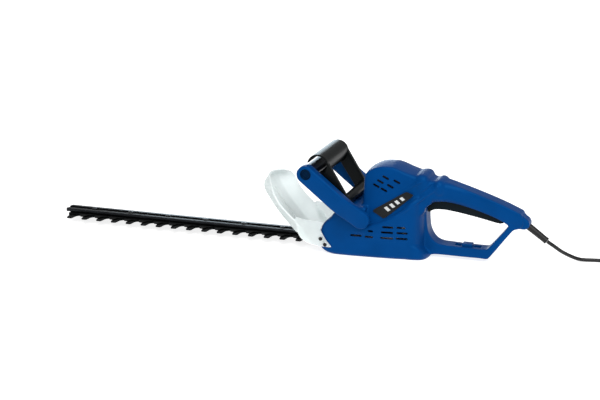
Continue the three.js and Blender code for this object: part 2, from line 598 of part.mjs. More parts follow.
// Outline of a spur gear centred at cx, its first tooth turned to `phase`: straight flanks between
// the points of an involute at the root and at the tip.
function gearOutline(cx, teeth, phase, backlash) {
  const pitch = (MODULE_MM * teeth) / 2;
  const base = pitch * Math.cos((20 * Math.PI) / 180);
  const tip = pitch + 0.85 * MODULE_MM;
  const root = pitch - 1.2 * MODULE_MM;
  const involute = (r) => {
    const c = Math.acos(Math.min(1, base / r));
    return Math.tan(c) - c;
  };
  const halfAt = (r) => Math.PI / (2 * teeth) - backlash / pitch + involute(pitch) - involute(Math.max(r, base));
  return Array.from({ length: teeth }, (_, i) => phase + (2 * Math.PI * i) / teeth)
    .flatMap((mid) => [[root, -1], [tip, -1], [tip, 1], [root, 1]].map(([r, side]) => {
      const a = mid + side * halfAt(r);
      return [cx + r * Math.cos(a), r * Math.sin(a)];
    }));
}

function driveGear() {
  const bore = circle(GEAR_X, 0, 4.4, 16);
  const cam = (side, z0, z1) => plate(circle(GEAR_X, side * BLADE_STROKE, 14.5, 24), z0, z1, [bore]);
  return join(
    plate(gearOutline(GEAR_X, GEAR_TEETH, 0, 0.16), GEAR_Z, GEAR_Z + GEAR_THICK, [bore]),
    plate(circle(GEAR_X, 0, 9, 16), GEAR_Z - 2, WALL_TOP - 0.4, [bore]),
    cam(1, UPPER_BLADE_Z - 0.15, GEAR_Z + 0.5), cam(-1, 12.6, UPPER_BLADE_Z));
}

const pinion = () => plate(
  gearOutline(MOTOR_X, PINION_TEETH, Math.PI + Math.PI / PINION_TEETH, 0.16),
  GEAR_Z - 1, GEAR_Z + GEAR_THICK + 1, [circle(MOTOR_X, 0, 2.8, 12)]);

// ---------------------------------------------------------------- motor, upright behind the gear
const MOTOR = { shaftR: 2.5, coreR: 17, coreLow: 80, coreHigh: 112, top: 153 };

const ringZ = (r, bore, z0, z1, sides = 24) => plate(circle(MOTOR_X, 0, r, sides), z0, z1,
  [circle(MOTOR_X, 0, bore, sides)]);

function stator() {
  const frame = [[-31, -22], [-26, -26.5], [26, -26.5], [31, -22], [31, 22], [26, 26.5], [-26, 26.5], [-31, 22]];
  const bore = circle(MOTOR_X, 0, 18, 28);
  const pocket = (side) => [[-15, 12], [15, 12], [18, 22], [-18, 22]].map(([x, y]) => [MOTOR_X + x, side * y]);
  const body = plate(frame.map(([x, y]) => [MOTOR_X + x, y]), MOTOR.coreLow, MOTOR.coreHigh);
  return cut(body, plate(bore, 60, 130), plate(pocket(1), 60, 130), plate(pocket(-1).toReversed(), 60, 130));
}

// A field winding: a flat coil whose ends stand above and below the stator.
function fieldWinding(side) {
  const bundle = (y0, y1, z0, z1, half) => {
    const [a, b] = [side * y0, side * y1].sort((p, q) => p - q);
    return box(MOTOR_X - half, MOTOR_X + half, a, b, z0, z1);
  };
  const loop = cut(bundle(18.5, 21.6, MOTOR.coreLow - 7, MOTOR.coreHigh + 7, 14.5),
    bundle(10, 30, MOTOR.coreLow - 0.5, MOTOR.coreHigh + 0.5, 9));
  return loop;
}

function armature() {
  const slots = 10;
  const outline = [];
  for (let i = 0; i < slots; i += 1) {
    const a = (2 * Math.PI * i) / slots;
    const w = Math.PI / slots;
    for (const [r, t] of [[MOTOR.coreR, -0.8], [MOTOR.coreR, 0], [MOTOR.coreR, 0.8], [MOTOR.coreR - 2, 0.85],
      [MOTOR.coreR - 2, 1.15]]) {
      outline.push([MOTOR_X + r * Math.cos(a + w * t), r * Math.sin(a + w * t)]);
    }
  }
  const bore = circle(MOTOR_X, 0, MOTOR.shaftR + GAP, 12);
  return join(plate(outline, MOTOR.coreLow, MOTOR.coreHigh, [bore]),
    plate(circle(MOTOR_X, 0, 13.5, 20), MOTOR.coreLow - 6, MOTOR.coreHigh + 6, [bore]));
}

const commutator = () => ringZ(10.5, MOTOR.shaftR + GAP, 121, 134, 20);

function coolingFan() {
  const hub = ringZ(8, MOTOR.shaftR + GAP, 51, 62, 16);
  const disc = ringZ(26, MOTOR.shaftR + GAP, 51, 53, 28);
  const blades = Array.from({ length: 8 }, (_, i) => {
    const a = (2 * Math.PI * i) / 8;
    const across = a + Math.PI / 2;
    const corner = (r, shift, lean) => [
      MOTOR_X + r * Math.cos(a + lean) + shift * Math.cos(across),
      r * Math.sin(a + lean) + shift * Math.sin(across)];
    return plate([corner(7, -0.8, 0), corner(25.5, -0.8, 0.35), corner(25.5, 0.8, 0.35), corner(7, 0.8, 0)],
      52.5, 62);
  });
  return join(hub, disc, ...blades);
}

const brushHolder = (side) => {
  const [x0, x1] = [side * 11.2, side * 30].sort((a, b) => a - b);
  return box(MOTOR_X + x0, MOTOR_X + x1, -4.5, 4.5, 122.5, 132.5);
};

const baffle = () => plate([[-34, -27], [31, -27], [31, 27], [-34, 27]].map(([x, y]) => [MOTOR_X + x, y]), 65, 67,
  [circle(MOTOR_X, 0, 19, 24)]);

// ---------------------------------------------------------------- rear trigger and electrics
const TRIGGER = [
  [234, 77], [246, 86.2], [266, 87.4], [293, 84.2], [328, 78], [361, 70.8], [368.5, 72.4], [370, 76],
  [368, 80.5], [361, 84.5], [329, 95], [294, 104], [268, 108], [259, 114], [247, 114], [241.5, 100],
  [234.2, 92],
];

function trigger() {
  const pivot = rod.y(TRIGGER_PIN.x, TRIGGER_PIN.z, TRIGGER_PIN.r + 0.35, -20, 20, 12);
  return cut(prism(TRIGGER, -8, 8, [], 1.6, 2), pivot);
}

// A helical spring standing on the trigger, under the shell of the grip.
class Helix extends THREE.Curve {
  constructor(radius, height, turns) {
    super();
    Object.assign(this, { radius, height, turns });
  }

  getPoint(t, target = new THREE.Vector3()) {
    const a = 2 * Math.PI * this.turns * t;
    return target.set(this.radius * Math.cos(a), this.radius * Math.sin(a), this.height * t);
  }
}

function spring(x, z, radius, height, turns, wire) {
  const section = new THREE.Shape(circle(0, 0, wire, 4).map(([a, b]) => new THREE.Vector2(a, b)));
  const geometry = new THREE.ExtrudeGeometry(section, {
    steps: turns * 7, extrudePath: new Helix(radius, height, turns),
  });
  geometry.translate(x, 0, z);
  return toSolid(geometry);
}

const rearSwitch = () => join(box(283, 309, -10, 10, 108.6, 118.4), rod.z(300, 0, 2.5, 106.4, 109, 8));
const frontSwitch = () => join(box(111.5, 124, -9, 9, 66, 84), box(110, 112, -2, 2, 71, 75));
const capacitor = () => box(206, 222, -10, 10, 50, 68);

function cordClamp() {
  const block = box(373, 380.5, -8.4, 8.4, 77.6, 81.6);
  return cut(block, rod.z(376.8, 6, 1.8, 70, 90, 8), rod.z(376.8, -6, 1.8, 70, 90, 8));
}

// ---------------------------------------------------------------- cord
const RELIEF_START = new THREE.Vector3(CORD_EXIT.x, 0, CORD_EXIT.z).addScaledVector(RELIEF_DIRECTION, -14);
const RELIEF_END = new THREE.Vector3(442.18, 0, 45.05);

function strainRelief() {
  const flangeEnd = RELIEF_START.clone().addScaledVector(RELIEF_DIRECTION, 3);
  return join(
    strut(RELIEF_START.toArray(), RELIEF_END.toArray(), 6.4, 4.9, 14),
    strut(RELIEF_START.toArray(), flangeEnd.toArray(), 7.2, 7.2, 12));
}

// The cord's route: out of the sleeve, down to the floor, away from the tool and back in one wide fold.
const CORD_ROUTE = [
  [442.8, 0, 44.6], [446.4, 0.4, 42], [450.8, 2.4, 38.6], [456, 6.4, 33.8], [462.7, 14, 26.4], [470.1, 23, 19.2],
  [477.7, 31.4, 13], [485.6, 38, 8], [493.6, 43, 4.8], [502, 46.6, 3.5], [512, 49.4, 3.3], [527, 52, 3.3],
  [550, 53.6, 3.3], [575, 54, 3.3], [600, 54, 3.3], [624, 53.2, 3.3], [646, 49.5, 3.3], [663, 41.5, 3.3],
  [673.5, 29, 3.3], [676, 13, 3.3], [670, -2, 3.3], [658, -13.5, 3.3], [642, -19, 3.3], [626, -20, 3.6],
  [612, -20, 5], [601.5, -20, 6.8], [592.3, -20, 7.5],
].map((p) => new THREE.Vector3(...p));

function cord() {
  const path = new THREE.CatmullRomCurve3(CORD_ROUTE, false, 'centripetal');
  const section = new THREE.Shape(circle(0, 0, CORD_R, 8).map(([a, b]) => new THREE.Vector2(a, b)));
  return toSolid(new THREE.ExtrudeGeometry(section, { steps: 42, extrudePath: path }));
}

// A two-pin plug lying on its side, its pins pointing back at the tool.
const PLUG = { x: 592, y: -20, z: 7.5 };

function plug() {
  const ring = (x, w, h) => Array.from({ length: 16 }, (_, i) => {
    const a = (2 * Math.PI * i) / 16;
    const c = Math.cos(a);
    const s = Math.sin(a);
    return [PLUG.x + x, PLUG.y + w * Math.sign(c) * Math.abs(c) ** 0.7, PLUG.z + h * Math.sign(s) * Math.abs(s) ** 0.7];
  });
  const body = skin([ring(-38, 8.5, 6.4), ring(-36, 10.5, 7.2), ring(-24, 11.5, 7.3), ring(-14, 9, 6.8), ring(-8, 6, 5.4),
    ring(0, 4.6, 4.4)]);
  const pins = [-7, 7].map((y) => strut([PLUG.x - 57, PLUG.y + y, PLUG.z], [PLUG.x - 37, PLUG.y + y, PLUG.z], 2.2, 2.4, 8));
  return join(body, ...pins);
}

// ---------------------------------------------------------------- fasteners and labels
const sidePin = (x, z, parts) => join(...parts.map(([r, y0, y1, n]) => rod.y(x, z, r, y0, y1, n)));

const guardScrew = ([x, z], side) => {
  const face = BODY_HALF + GAP + 2.6;
  const solid = sidePin(x, z, [[3.4, face + 0.1, face + 2, 12], [1.6, 46, face + 0.5, 8]]);
  return side > 0 ? solid : mirrored(solid);
};

const housingScrew = ({ x, z, y }) => sidePin(x, z, [[4.1, y + GAP, y + 3, 12], [2.1, SCREW_TIP_Y, y + 0.5, 8]]);

const LABEL = [[144.7, 83.1], [204, 120.5], [218, 115.5], [167.6, 70.8]];
const DRAFT = (45.5 - DOME_HALF) / 98;   // how much the dome's sides widen per millimetre down
const label = (side) => {
  const geometry = prismGeometry(LABEL, GAP + 0.2, 1.6, [], 0.4, 1);
  const position = geometry.attributes.position;
  for (let i = 0; i < position.count; i += 1) {
    position.setY(i, position.getY(i) + DOME_HALF + DRAFT * (153 - position.getZ(i)));
  }
  const solid = toSolid(geometry);
  return side > 0 ? solid : mirrored(solid);
};

// ---------------------------------------------------------------- the assembly
const trimmer = new THREE.Group();

function add(name, solid, [color, roughness, metalness]) {
  const material = new THREE.MeshStandardMaterial({ color, roughness, metalness });
  const mesh = new THREE.Mesh(toGeometry(solid.translate([CENTRE_X, 0, 0])), material);
  mesh.name = name;
  trimmer.add(mesh);
}

const shell = housing();
add('housing_left', shell.intersect(box(-100, 500, -100, -SEAM, -10, 300)), BLUE);
add('housing_right', shell.intersect(box(-100, 500, SEAM, 100, -10, 300)), BLUE);
SCREWS.forEach((screw, i) => add(`housing_screw_${i + 1}`, housingScrew(screw), DARK_STEEL));

add('front_arm_left', arm(-1), BLUE);
add('front_arm_right', arm(1), BLUE);
const tubeBore = circle(BOSS.x, BOSS.z, TUBE_R - 2.5, 24);
add('front_handle_tube', prism(circle(BOSS.x, BOSS.z, TUBE_R, 24), -70, 70, [tubeBore]), NAVY);
add('front_switch_bar', switchBar(), BLACK);
add('front_bar_pin', rod.y(PIVOT.x, PIVOT.z, 2.4, -67, 67, 12), STEEL);
add('front_switch', frontSwitch(), BLACK);

add('guard', guard(), WHITE);
for (const [name, side] of [['left', -1], ['right', 1]]) {
  GUARD_SCREWS.forEach((place, i) => add(`guard_screw_${name}_${i + 1}`, guardScrew(place, side), BLACK));
  add(`label_plate_${name}`, label(side), BLACK);
}

add('support_bar', supportBar(), DARK_STEEL);
add('upper_blade', blade(UPPER_BLADE_Z, 0, CUTTER_REACH, CUTTER_LEAD), DARK_STEEL);
add('lower_blade', blade(LOWER_BLADE_Z, -1, TOOTH_REACH, 0), DARK_STEEL);
for (let i = 0; i < BOLT_COUNT; i += 1) add(`bar_bolt_${i + 1}`, bolt(boltX(i)), DARK_STEEL);
add('bar_root_bolt', bolt(68), DARK_STEEL);

add('gearbox_base', gearboxBase(), CAST);
add('gearbox_cover', gearboxCover(), CAST);
add('gear_pin', rod.z(GEAR_X, 0, 4, 5, WALL_TOP + GAP + 4, 16), STEEL);
add('drive_gear', driveGear(), STEEL);
add('pinion', pinion(), STEEL);

add('motor_stator', stator(), STEEL);
add('field_winding_left', fieldWinding(-1), COPPER);
add('field_winding_right', fieldWinding(1), COPPER);
add('motor_shaft', rod.z(MOTOR_X, 0, MOTOR.shaftR, GEAR_Z - 2, MOTOR.top, 16), STEEL);
add('armature', armature(), COPPER);
add('commutator', commutator(), BRASS);
add('cooling_fan', coolingFan(), BLACK);
add('lower_bearing', ringZ(12, MOTOR.shaftR + GAP, 39, 47, 20), STEEL);
add('upper_bearing', ringZ(9, MOTOR.shaftR + GAP, 142, 150, 20), STEEL);
add('fan_baffle', baffle(), BLACK);
add('brush_holder_front', brushHolder(-1), BRASS);
add('brush_holder_rear', brushHolder(1), BRASS);

add('rear_trigger', trigger(), BLACK);
add('trigger_pin', rod.y(TRIGGER_PIN.x, TRIGGER_PIN.z, TRIGGER_PIN.r, -13, 13, 10), STEEL);
add('trigger_spring', spring(278, 106.6, 3, 22, 5, 0.5), STEEL);
add('rear_switch', rearSwitch(), BLACK);
add('noise_capacitor', capacitor(), CREAM);
add('cord_clamp', cordClamp(), BLACK);

add('strain_relief', strainRelief(), BLACK);
add('cord', cord(), BLACK);
add('plug', plug(), BLACK);

export default trimmer;
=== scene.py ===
"""Looks for the corded hedge trimmer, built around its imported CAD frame.

Shapes are written in millimetres, like the CAD source, and turned into metres as meshes are made.
+X points towards the cord, +Z up, the left side of the tool is at -Y.
"""
import json
import math

import bmesh
import bpy
from mathutils import Matrix, Vector


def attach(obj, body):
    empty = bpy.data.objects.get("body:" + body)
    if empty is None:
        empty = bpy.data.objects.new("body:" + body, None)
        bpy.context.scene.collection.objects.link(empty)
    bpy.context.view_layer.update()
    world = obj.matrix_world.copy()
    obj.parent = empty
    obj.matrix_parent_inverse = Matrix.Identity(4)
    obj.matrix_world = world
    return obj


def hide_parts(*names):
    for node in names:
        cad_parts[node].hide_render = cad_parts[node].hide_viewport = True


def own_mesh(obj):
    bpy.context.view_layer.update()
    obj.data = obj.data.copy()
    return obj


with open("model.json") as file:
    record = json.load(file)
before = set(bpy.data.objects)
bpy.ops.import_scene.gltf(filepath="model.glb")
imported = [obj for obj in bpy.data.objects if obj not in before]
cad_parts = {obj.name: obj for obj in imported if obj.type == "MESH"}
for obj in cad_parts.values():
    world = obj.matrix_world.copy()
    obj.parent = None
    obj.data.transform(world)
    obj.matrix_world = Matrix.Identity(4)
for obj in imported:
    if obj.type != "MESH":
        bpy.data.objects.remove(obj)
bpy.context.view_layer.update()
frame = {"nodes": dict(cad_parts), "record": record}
MM = 0.001
CENTRE = Vector((8, 0, 0))  # the drawing's zero, from the middle of the whole tool


def to_metres(place):
    return (Vector(place) + CENTRE) * MM


# -------------------------------- camera
CAMERA_PLACE = (0.8221, -2.4061, 0.794)
CAMERA_TURN = math.radians(18.7)  # to the left of looking along +Y
CAMERA_DIP = math.radians(15.75)  # below level
FOCAL_LENGTH = 88.8
SENSOR_WIDTH = 36


def add_camera():
    data = bpy.data.cameras.new("camera")
    data.lens = FOCAL_LENGTH
    data.sensor_width = SENSOR_WIDTH
    camera = bpy.data.objects.new("camera", data)
    camera.location = CAMERA_PLACE
    camera.rotation_euler = (math.pi / 2 - CAMERA_DIP, 0, CAMERA_TURN)
    bpy.context.scene.collection.objects.link(camera)
    bpy.context.scene.camera = camera


# -------------------------------- mesh tools
def mesh_object(name, points, faces):
    mesh = bpy.data.meshes.new(name)
    mesh.from_pydata([to_metres(p) for p in points], [], faces)
    work = bmesh.new()
    work.from_mesh(mesh)
    bmesh.ops.remove_doubles(work, verts=work.verts, dist=1e-6)
    bmesh.ops.recalc_face_normals(work, faces=work.faces)
    work.to_mesh(mesh)
    work.free()
    obj = bpy.data.objects.new(name, mesh)
    bpy.context.scene.collection.objects.link(obj)
    return obj


def apply_modifiers(obj):
    evaluated = obj.evaluated_get(bpy.context.evaluated_depsgraph_get())
    mesh = bpy.data.meshes.new_from_object(evaluated)
    obj.modifiers.clear()
    obj.data = mesh


def boolean(obj, operation, *cutters):
    for cutter in cutters:
        modifier = obj.modifiers.new("boolean", "BOOLEAN")
        modifier.operation = operation
        modifier.solver = "MANIFOLD"
        modifier.object = cutter
        apply_modifiers(obj)
        bpy.data.objects.remove(cutter)
    return obj


def unite(first, *others):
    return boolean(first, "UNION", *others)


def cut(first, *others):
    return boolean(first, "DIFFERENCE", *others)


def soften(obj, voxel, passes):
    """Melts the joins of a solid together and rounds its edges."""
    remesh = obj.modifiers.new("remesh", "REMESH")
    remesh.mode = "VOXEL"
    remesh.voxel_size = voxel * MM
    smooth = obj.modifiers.new("smooth", "SMOOTH")
    smooth.factor = 0.5
    smooth.iterations = passes
    apply_modifiers(obj)
    return obj


def round_edges(obj, width, segments=3, angle=30):
    bevel = obj.modifiers.new("bevel", "BEVEL")
    bevel.width = width * MM
    bevel.segments = segments
    bevel.limit_method = "ANGLE"
    bevel.angle_limit = math.radians(angle)
    apply_modifiers(obj)
    return obj


def shade(obj, angle=32):
    obj.data.shade_smooth()
    obj.data.set_sharp_from_angle(angle=math.radians(angle))
    return obj


def copy_of(obj, name):
    twin = bpy.data.objects.new(name, obj.data.copy())
    bpy.context.scene.collection.objects.link(twin)
    return twin


def flipped(obj):
    """The same solid on the other side of the middle plane."""
    obj.data.transform(Matrix.Scale(-1, 4, (0, 1, 0)))
    obj.data.flip_normals()
    return obj


def mirrored(obj, name):
    return flipped(copy_of(obj, name))


def between(first, second, name):
    """A solid between two outlines that have the same number of points."""
    n = len(first)
    sides = [(i, (i + 1) % n, (i + 1) % n + n, i + n) for i in range(n)]
    return mesh_object(name, first + second, [tuple(range(n)), tuple(range(n, 2 * n)), *sides])


def prism(points, y0, y1, name="prism"):
    """A prism drawn in X, Z and running from y0 to y1."""
    return between([(x, y0, z) for x, z in points], [(x, y1, z) for x, z in points], name)


def plate(points, z0, z1, name="plate"):
    """A plate drawn in X, Y and raised from z0 to z1."""
    return between([(x, y, z0) for x, y in points], [(x, y, z1) for x, y in points], name)


def box(x0, x1, y0, y1, z0, z1):
    return plate([(x0, y0), (x1, y0), (x1, y1), (x0, y1)], z0, z1)


def circle(x, y, r, sides=48, start=0.0, turn=2 * math.pi):
    return [(x + r * math.cos(start + turn * i / sides), y + r * math.sin(start + turn * i / sides))
            for i in range(sides)]


def rod(x, z, r, y0, y1, sides=48):
    return prism(circle(x, z, r, sides), y0, y1)


def lathe(profile, start, direction, name, sides=32):
    """Turns (distance, radius) pairs round the line that leaves start along direction."""
    axis = Vector(direction).normalized()
    across = axis.orthogonal().normalized()
    third = axis.cross(across)
    points = []
    for distance, radius in profile:
        centre = Vector(start) + axis * distance
        for i in range(sides):
            a = 2 * math.pi * i / sides
            points.append(centre + (across * math.cos(a) + third * math.sin(a)) * max(radius, 1e-3))
    return skin(points, sides, name)


def skin(points, sides, name):
    """A closed solid through rings that have the same number of points."""
    rings = len(points) // sides
    faces = [tuple(range(sides)), tuple(range((rings - 1) * sides, rings * sides))]
    for i in range(rings - 1):
        for j in range(sides):
            a, b = i * sides + j, i * sides + (j + 1) % sides
            faces.append((a, b, b + sides, a + sides))
    return mesh_object(name, points, faces)


def rounded(points, passes=3, share=0.25):
    """Cuts the corners of a closed outline until it is smooth."""
    for _ in range(passes):
        result = []
        for (ax, ay), (bx, by) in zip(points, points[1:] + points[:1]):
            result.append((ax + share * (bx - ax), ay + share * (by - ay)))
            result.append((bx + share * (ax - bx), by + share * (ay - by)))
        points = result
    return points


def eased(t):
    t = min(1.0, max(0.0, t))
    return t * t * (3 - 2 * t)


def curve(a, b, c, d, t):
    """A point of the even curve through four points, t of the way from b to c."""
    return 0.5 * (2 * b + (c - a) * t + (2 * a - 5 * b + 4 * c - d) * t * t
                  + (3 * b - a - 3 * c + d) * t ** 3)


# -------------------------------- housing
def spline(xs, ys, x):
    """A smooth curve through the points that never overshoots them."""
    steps = [(ys[i + 1] - ys[i]) / (xs[i + 1] - xs[i]) for i in range(len(xs) - 1)]
    slopes = [steps[0]]
    for a, b in zip(steps, steps[1:]):
        slopes.append(0.0 if a * b <= 0 else 2 * a * b / (a + b))
    slopes.append(steps[-1])
    i = max(k for k in range(len(xs) - 1) if x >= xs[k] - 1e-9)
    h = xs[i + 1] - xs[i]
    t = (x - xs[i]) / h
    return ((1 + 2 * t) * (1 - t) ** 2 * ys[i] + t * (1 - t) ** 2 * h * slopes[i]
            + t * t * (3 - 2 * t) * ys[i + 1] + t * t * (t - 1) * h * slopes[i + 1])


DEFAULTS = {"low": 6, "high": 7, "crown": 0}
SIZES = ("w", "foot", "z0", "z1", "low", "high", "crown")


def section(s):
    """One cross-section of the housing, half width w at the top and foot at the bottom."""
    ring = []

    def corner(cy, cz, r, start):
        for i in range(7):
            a = math.radians(start + 15 * i)
            ring.append((s["x"], cy + r * math.cos(a), cz + r * math.sin(a)))

    top = s["z1"] - s["crown"] - s["high"]
    corner(s["foot"] - s["low"], s["z0"] + s["low"], s["low"], -90)
    corner(s["w"] - s["high"], top, s["high"], 0)
    for t in (0.75, 0.5, 0.25, 0, -0.25, -0.5, -0.75):
        ring.append((s["x"], t * (s["w"] - s["high"]), s["z1"] - s["crown"] * t * t))
    corner(s["high"] - s["w"], top, s["high"], 90)
    corner(s["low"] - s["foot"], s["z0"] + s["low"], s["low"], 180)
    return ring


def loft(stations, step=2.5, inset=0):
    """A solid through cross-sections, or the hollow that lies inset within it."""
    full = [{**DEFAULTS, "foot": s["w"], **s} for s in stations]
    xs = [s["x"] for s in full]
    count = max(1, round((xs[-1] - xs[0]) / step))
    rings = []
    for i in range(count + 1):
        x = xs[0] + (xs[-1] - xs[0]) * i / count
        s = {key: spline(xs, [f[key] for f in full], x) for key in SIZES}
        s["x"] = x + inset * (1 - 2 * i / count)
        for key in ("w", "foot", "z1"):
            s[key] -= inset
        s["z0"] += inset
        s["low"] = max(1, s["low"] - inset)
        s["high"] = max(1, s["high"] - inset)
        if s["z1"] - s["z0"] > 4:
            rings.append(section(s))
    return skin([p for ring in rings for p in ring], len(rings[0]), "loft")


LOWER_BODY = [
    {"x": 55, "w": 51, "z0": 10, "z1": 46},
    {"x": 60, "w": 53.5, "z0": 6, "z1": 55},
    {"x": 70, "w": 55, "z0": 2, "z1": 64},
    {"x": 83, "w": 55, "z0": 0, "z1": 73},
    {"x": 98, "w": 55, "z0": 0, "z1": 71},
    {"x": 120, "w": 54, "z0": 0, "z1": 58, "high": 5},
    {"x": 134, "w": 53, "z0": 0, "z1": 57, "high": 5},
    {"x": 148, "w": 52, "z0": 0, "z1": 61, "high": 5},
    {"x": 165, "w": 50.5, "z0": 0, "z1": 67, "high": 5},
    {"x": 180, "w": 49, "z0": 0, "z1": 76, "high": 6},
    {"x": 200, "w": 47, "z0": 0, "z1": 92, "low": 7, "high": 8},
    {"x": 212, "w": 45, "z0": 0, "z1": 105, "low": 8, "high": 11},
    {"x": 221, "w": 40.5, "z0": 0, "z1": 113, "low": 9, "high": 12},
    {"x": 227, "w": 33, "z0": 1, "z1": 117, "low": 10, "high": 12},
    {"x": 231, "w": 24, "z0": 2.5, "z1": 118, "low": 10, "high": 12},
    {"x": 233, "w": 16, "z0": 4, "z1": 118, "low": 9, "high": 11},
]
FOOT = [
    {"x": 196, "w": 45, "z0": 0, "z1": 30},
    {"x": 212, "w": 45.5, "z0": 0, "z1": 30},
    {"x": 226, "w": 43.5, "z0": 0, "z1": 25},
    {"x": 234, "w": 39.5, "z0": 0, "z1": 18},
    {"x": 239, "w": 32, "z0": 0.5, "z1": 12, "low": 4, "high": 5},
    {"x": 242.5, "w": 20, "z0": 1.5, "z1": 9.5, "low": 3, "high": 3},
]
BRACKET = [
    {"x": 76, "w": 53, "z0": 40, "z1": 72, "high": 5},
    {"x": 90, "w": 55, "z0": 40, "z1": 84, "high": 5},
    {"x": 104, "w": 55, "z0": 40, "z1": 90, "high": 5},
    {"x": 136, "w": 55, "z0": 40, "z1": 90, "high": 5},
]
DOME = [
    {"x": 127, "w": 29.5, "foot": 43, "z0": 50, "z1": 142, "high": 5, "crown": 1.5},
    {"x": 131, "w": 31, "foot": 44.5, "z0": 50, "z1": 149, "high": 5, "crown": 2},
    {"x": 138, "w": 31, "foot": 45, "z0": 50, "z1": 154, "high": 5, "crown": 2},
    {"x": 148, "w": 31, "foot": 45.5, "z0": 50, "z1": 158.8, "high": 5, "crown": 2},
    {"x": 160, "w": 31, "foot": 45.5, "z0": 50, "z1": 161, "high": 5, "crown": 2},
    {"x": 174, "w": 31, "foot": 45.5, "z0": 50, "z1": 161.4, "high": 5, "crown": 2},
    {"x": 184, "w": 31, "foot": 45, "z0": 50, "z1": 159.3, "high": 5, "crown": 2},
    {"x": 200, "w": 31, "foot": 43, "z0": 55, "z1": 153.8, "high": 6, "crown": 2},
    {"x": 222, "w": 30, "foot": 36, "z0": 70, "z1": 147.6, "high": 8, "crown": 2},
    {"x": 246, "w": 27, "foot": 28, "z0": 98, "z1": 139.5, "high": 10, "crown": 1},
]
GRIP_ROOT = [
    {"x": 206, "w": 40, "z0": 60, "z1": 96, "low": 10, "high": 10},
    {"x": 220, "w": 36, "z0": 70, "z1": 109, "low": 10, "high": 12},
    {"x": 236, "w": 30.5, "z0": 90, "z1": 126, "low": 10, "high": 12},
    {"x": 248, "w": 27, "z0": 102, "z1": 139, "low": 9, "high": 12},
    {"x": 270, "w": 22.5, "z0": 103, "z1": 136.5, "low": 8, "high": 11},
    {"x": 291, "w": 19, "z0": 100, "z1": 130.5, "low": 7, "high": 9},
    {"x": 320, "w": 17, "z0": 93, "z1": 121.6, "low": 7, "high": 8},
    {"x": 361, "w": 16.5, "z0": 79.5, "z1": 108, "low": 7, "high": 8},
    {"x": 397, "w": 16.5, "z0": 66.5, "z1": 93.2, "low": 7, "high": 8},
]
RING_OUTER = [
    (228, 3), (243, 5), (256, 7), (305, 6.5), (332, 7), (342, 6), (346, 8), (384, 60), (389, 64),
    (397, 65.2), (402.5, 72), (403, 80), (400, 91), (396, 93.6), (361, 108), (320, 121.6),
    (291, 130.5), (262, 138), (240, 126), (220, 106),
]
EXIT_BLOCK = [
    (380, 64.8), (406, 64.3), (412.8, 68.5), (413.6, 76), (409.5, 82), (404.5, 85), (402, 88.6), (380, 90),
]
RING_HOLE = [
    (235, 88), (235.4, 72), (237, 52.5), (239.8, 43.4), (244.6, 35.2), (250.6, 29), (258.6, 25.6),
    (270, 24.4), (340, 22.9), (344, 25.5), (378.2, 68), (377, 70.6), (361, 79.5), (329, 90.5), (294, 99.5),
    (268, 103), (248, 100.5), (237.5, 94),
]
BAR_HOLLOW = [(216, 9), (246, 11), (334, 10.5), (337, 12.5), (335, 18.5), (262, 20.5), (246, 24), (216, 24)]
GRIP_HOLLOW = [
    (210, 78), (229, 92), (240, 102), (252, 105.5), (268, 106), (294, 102.5), (329, 93.5), (361, 82.5),
    (386, 71), (397, 70.5), (397, 88.8), (394, 90), (361, 104.5), (320, 118), (291, 127), (262, 134),
    (240, 122), (210, 98),
]
EXIT_HOLLOW = [(390, 71), (405, 70.5), (409.5, 75), (409.5, 79.5), (404, 84), (390, 85.5)]
TRIGGER_SLOT = [
    (228, 84), (374.5, 68), (374.5, 79), (368, 88), (329, 99), (294, 108), (262, 115), (245, 115), (236, 102),
    (228, 96),
]
SCREWS = [  # x, z, and how far from the middle plane the head sits
    (70, 52, 38), (222, 20, 22), (212, 90, 29), (257, 124, 17),
    (340, 104.5, 10), (384, 87, 10), (264, 15.5, 9), (330, 14.5, 9),
]
GUARD_SCREWS = [(57, 28), (65, 18)]
CORD_EXIT = Vector((409, 0, 69))
RELIEF_DIRECTION = Vector((36, 0, -26)).normalized()
RING_HALF = 16  # half the width of the bars round the hand opening
EXIT_HALF = 13
GRIP_HOLLOW_HALF, EXIT_HOLLOW_HALF, BAR_HOLLOW_HALF = 13, 9.5, 12
TRIGGER_SLOT_HALF = 8.6
NOTCH_HALF = 6.5
HOLLOW_STEP = 5
SHELL_WALL = 3
GRIP_WALL = 2.8
SEAM = 0.15  # half the gap between the shells
POST_R, HEAD_BORE_R, SCREW_BORE_R, GUARD_BORE_R = 5.2, 4.6, 2.5, 1.9
THROUGH = 60  # half the reach of a cut that goes through both sides


def slot(x, z, length, height, tilt=0.0):
    """A slot with round ends."""
    c, s = math.cos(tilt), math.sin(tilt)
    r = height / 2
    outline = [(length / 2 - r + r * math.cos(math.radians(a)), r * math.sin(math.radians(a)))
               for a in range(-90, 91, 30)]
    outline += [(-u, -v) for u, v in outline]
    return [(x + u * c - v * s, z + u * s + v * c) for u, v in outline]


DOME_VENTS = [slot(x, z, 13, 4.2, -0.42)
              for x, z in ((166, 141), (157, 133.5), (150, 126), (186, 135.5), (175, 127), (164, 120))]
BODY_VENTS = [slot(x, z, length + 0.6, 3.9) for x, z, length in (
    (175.5, 57.5, 19), (198.5, 58, 15), (174.5, 48, 21), (200.5, 48.5, 19), (174, 38, 22), (200, 38.5, 20),
    (145.5, 48.5, 9), (120, 39, 20), (143, 38, 14))]
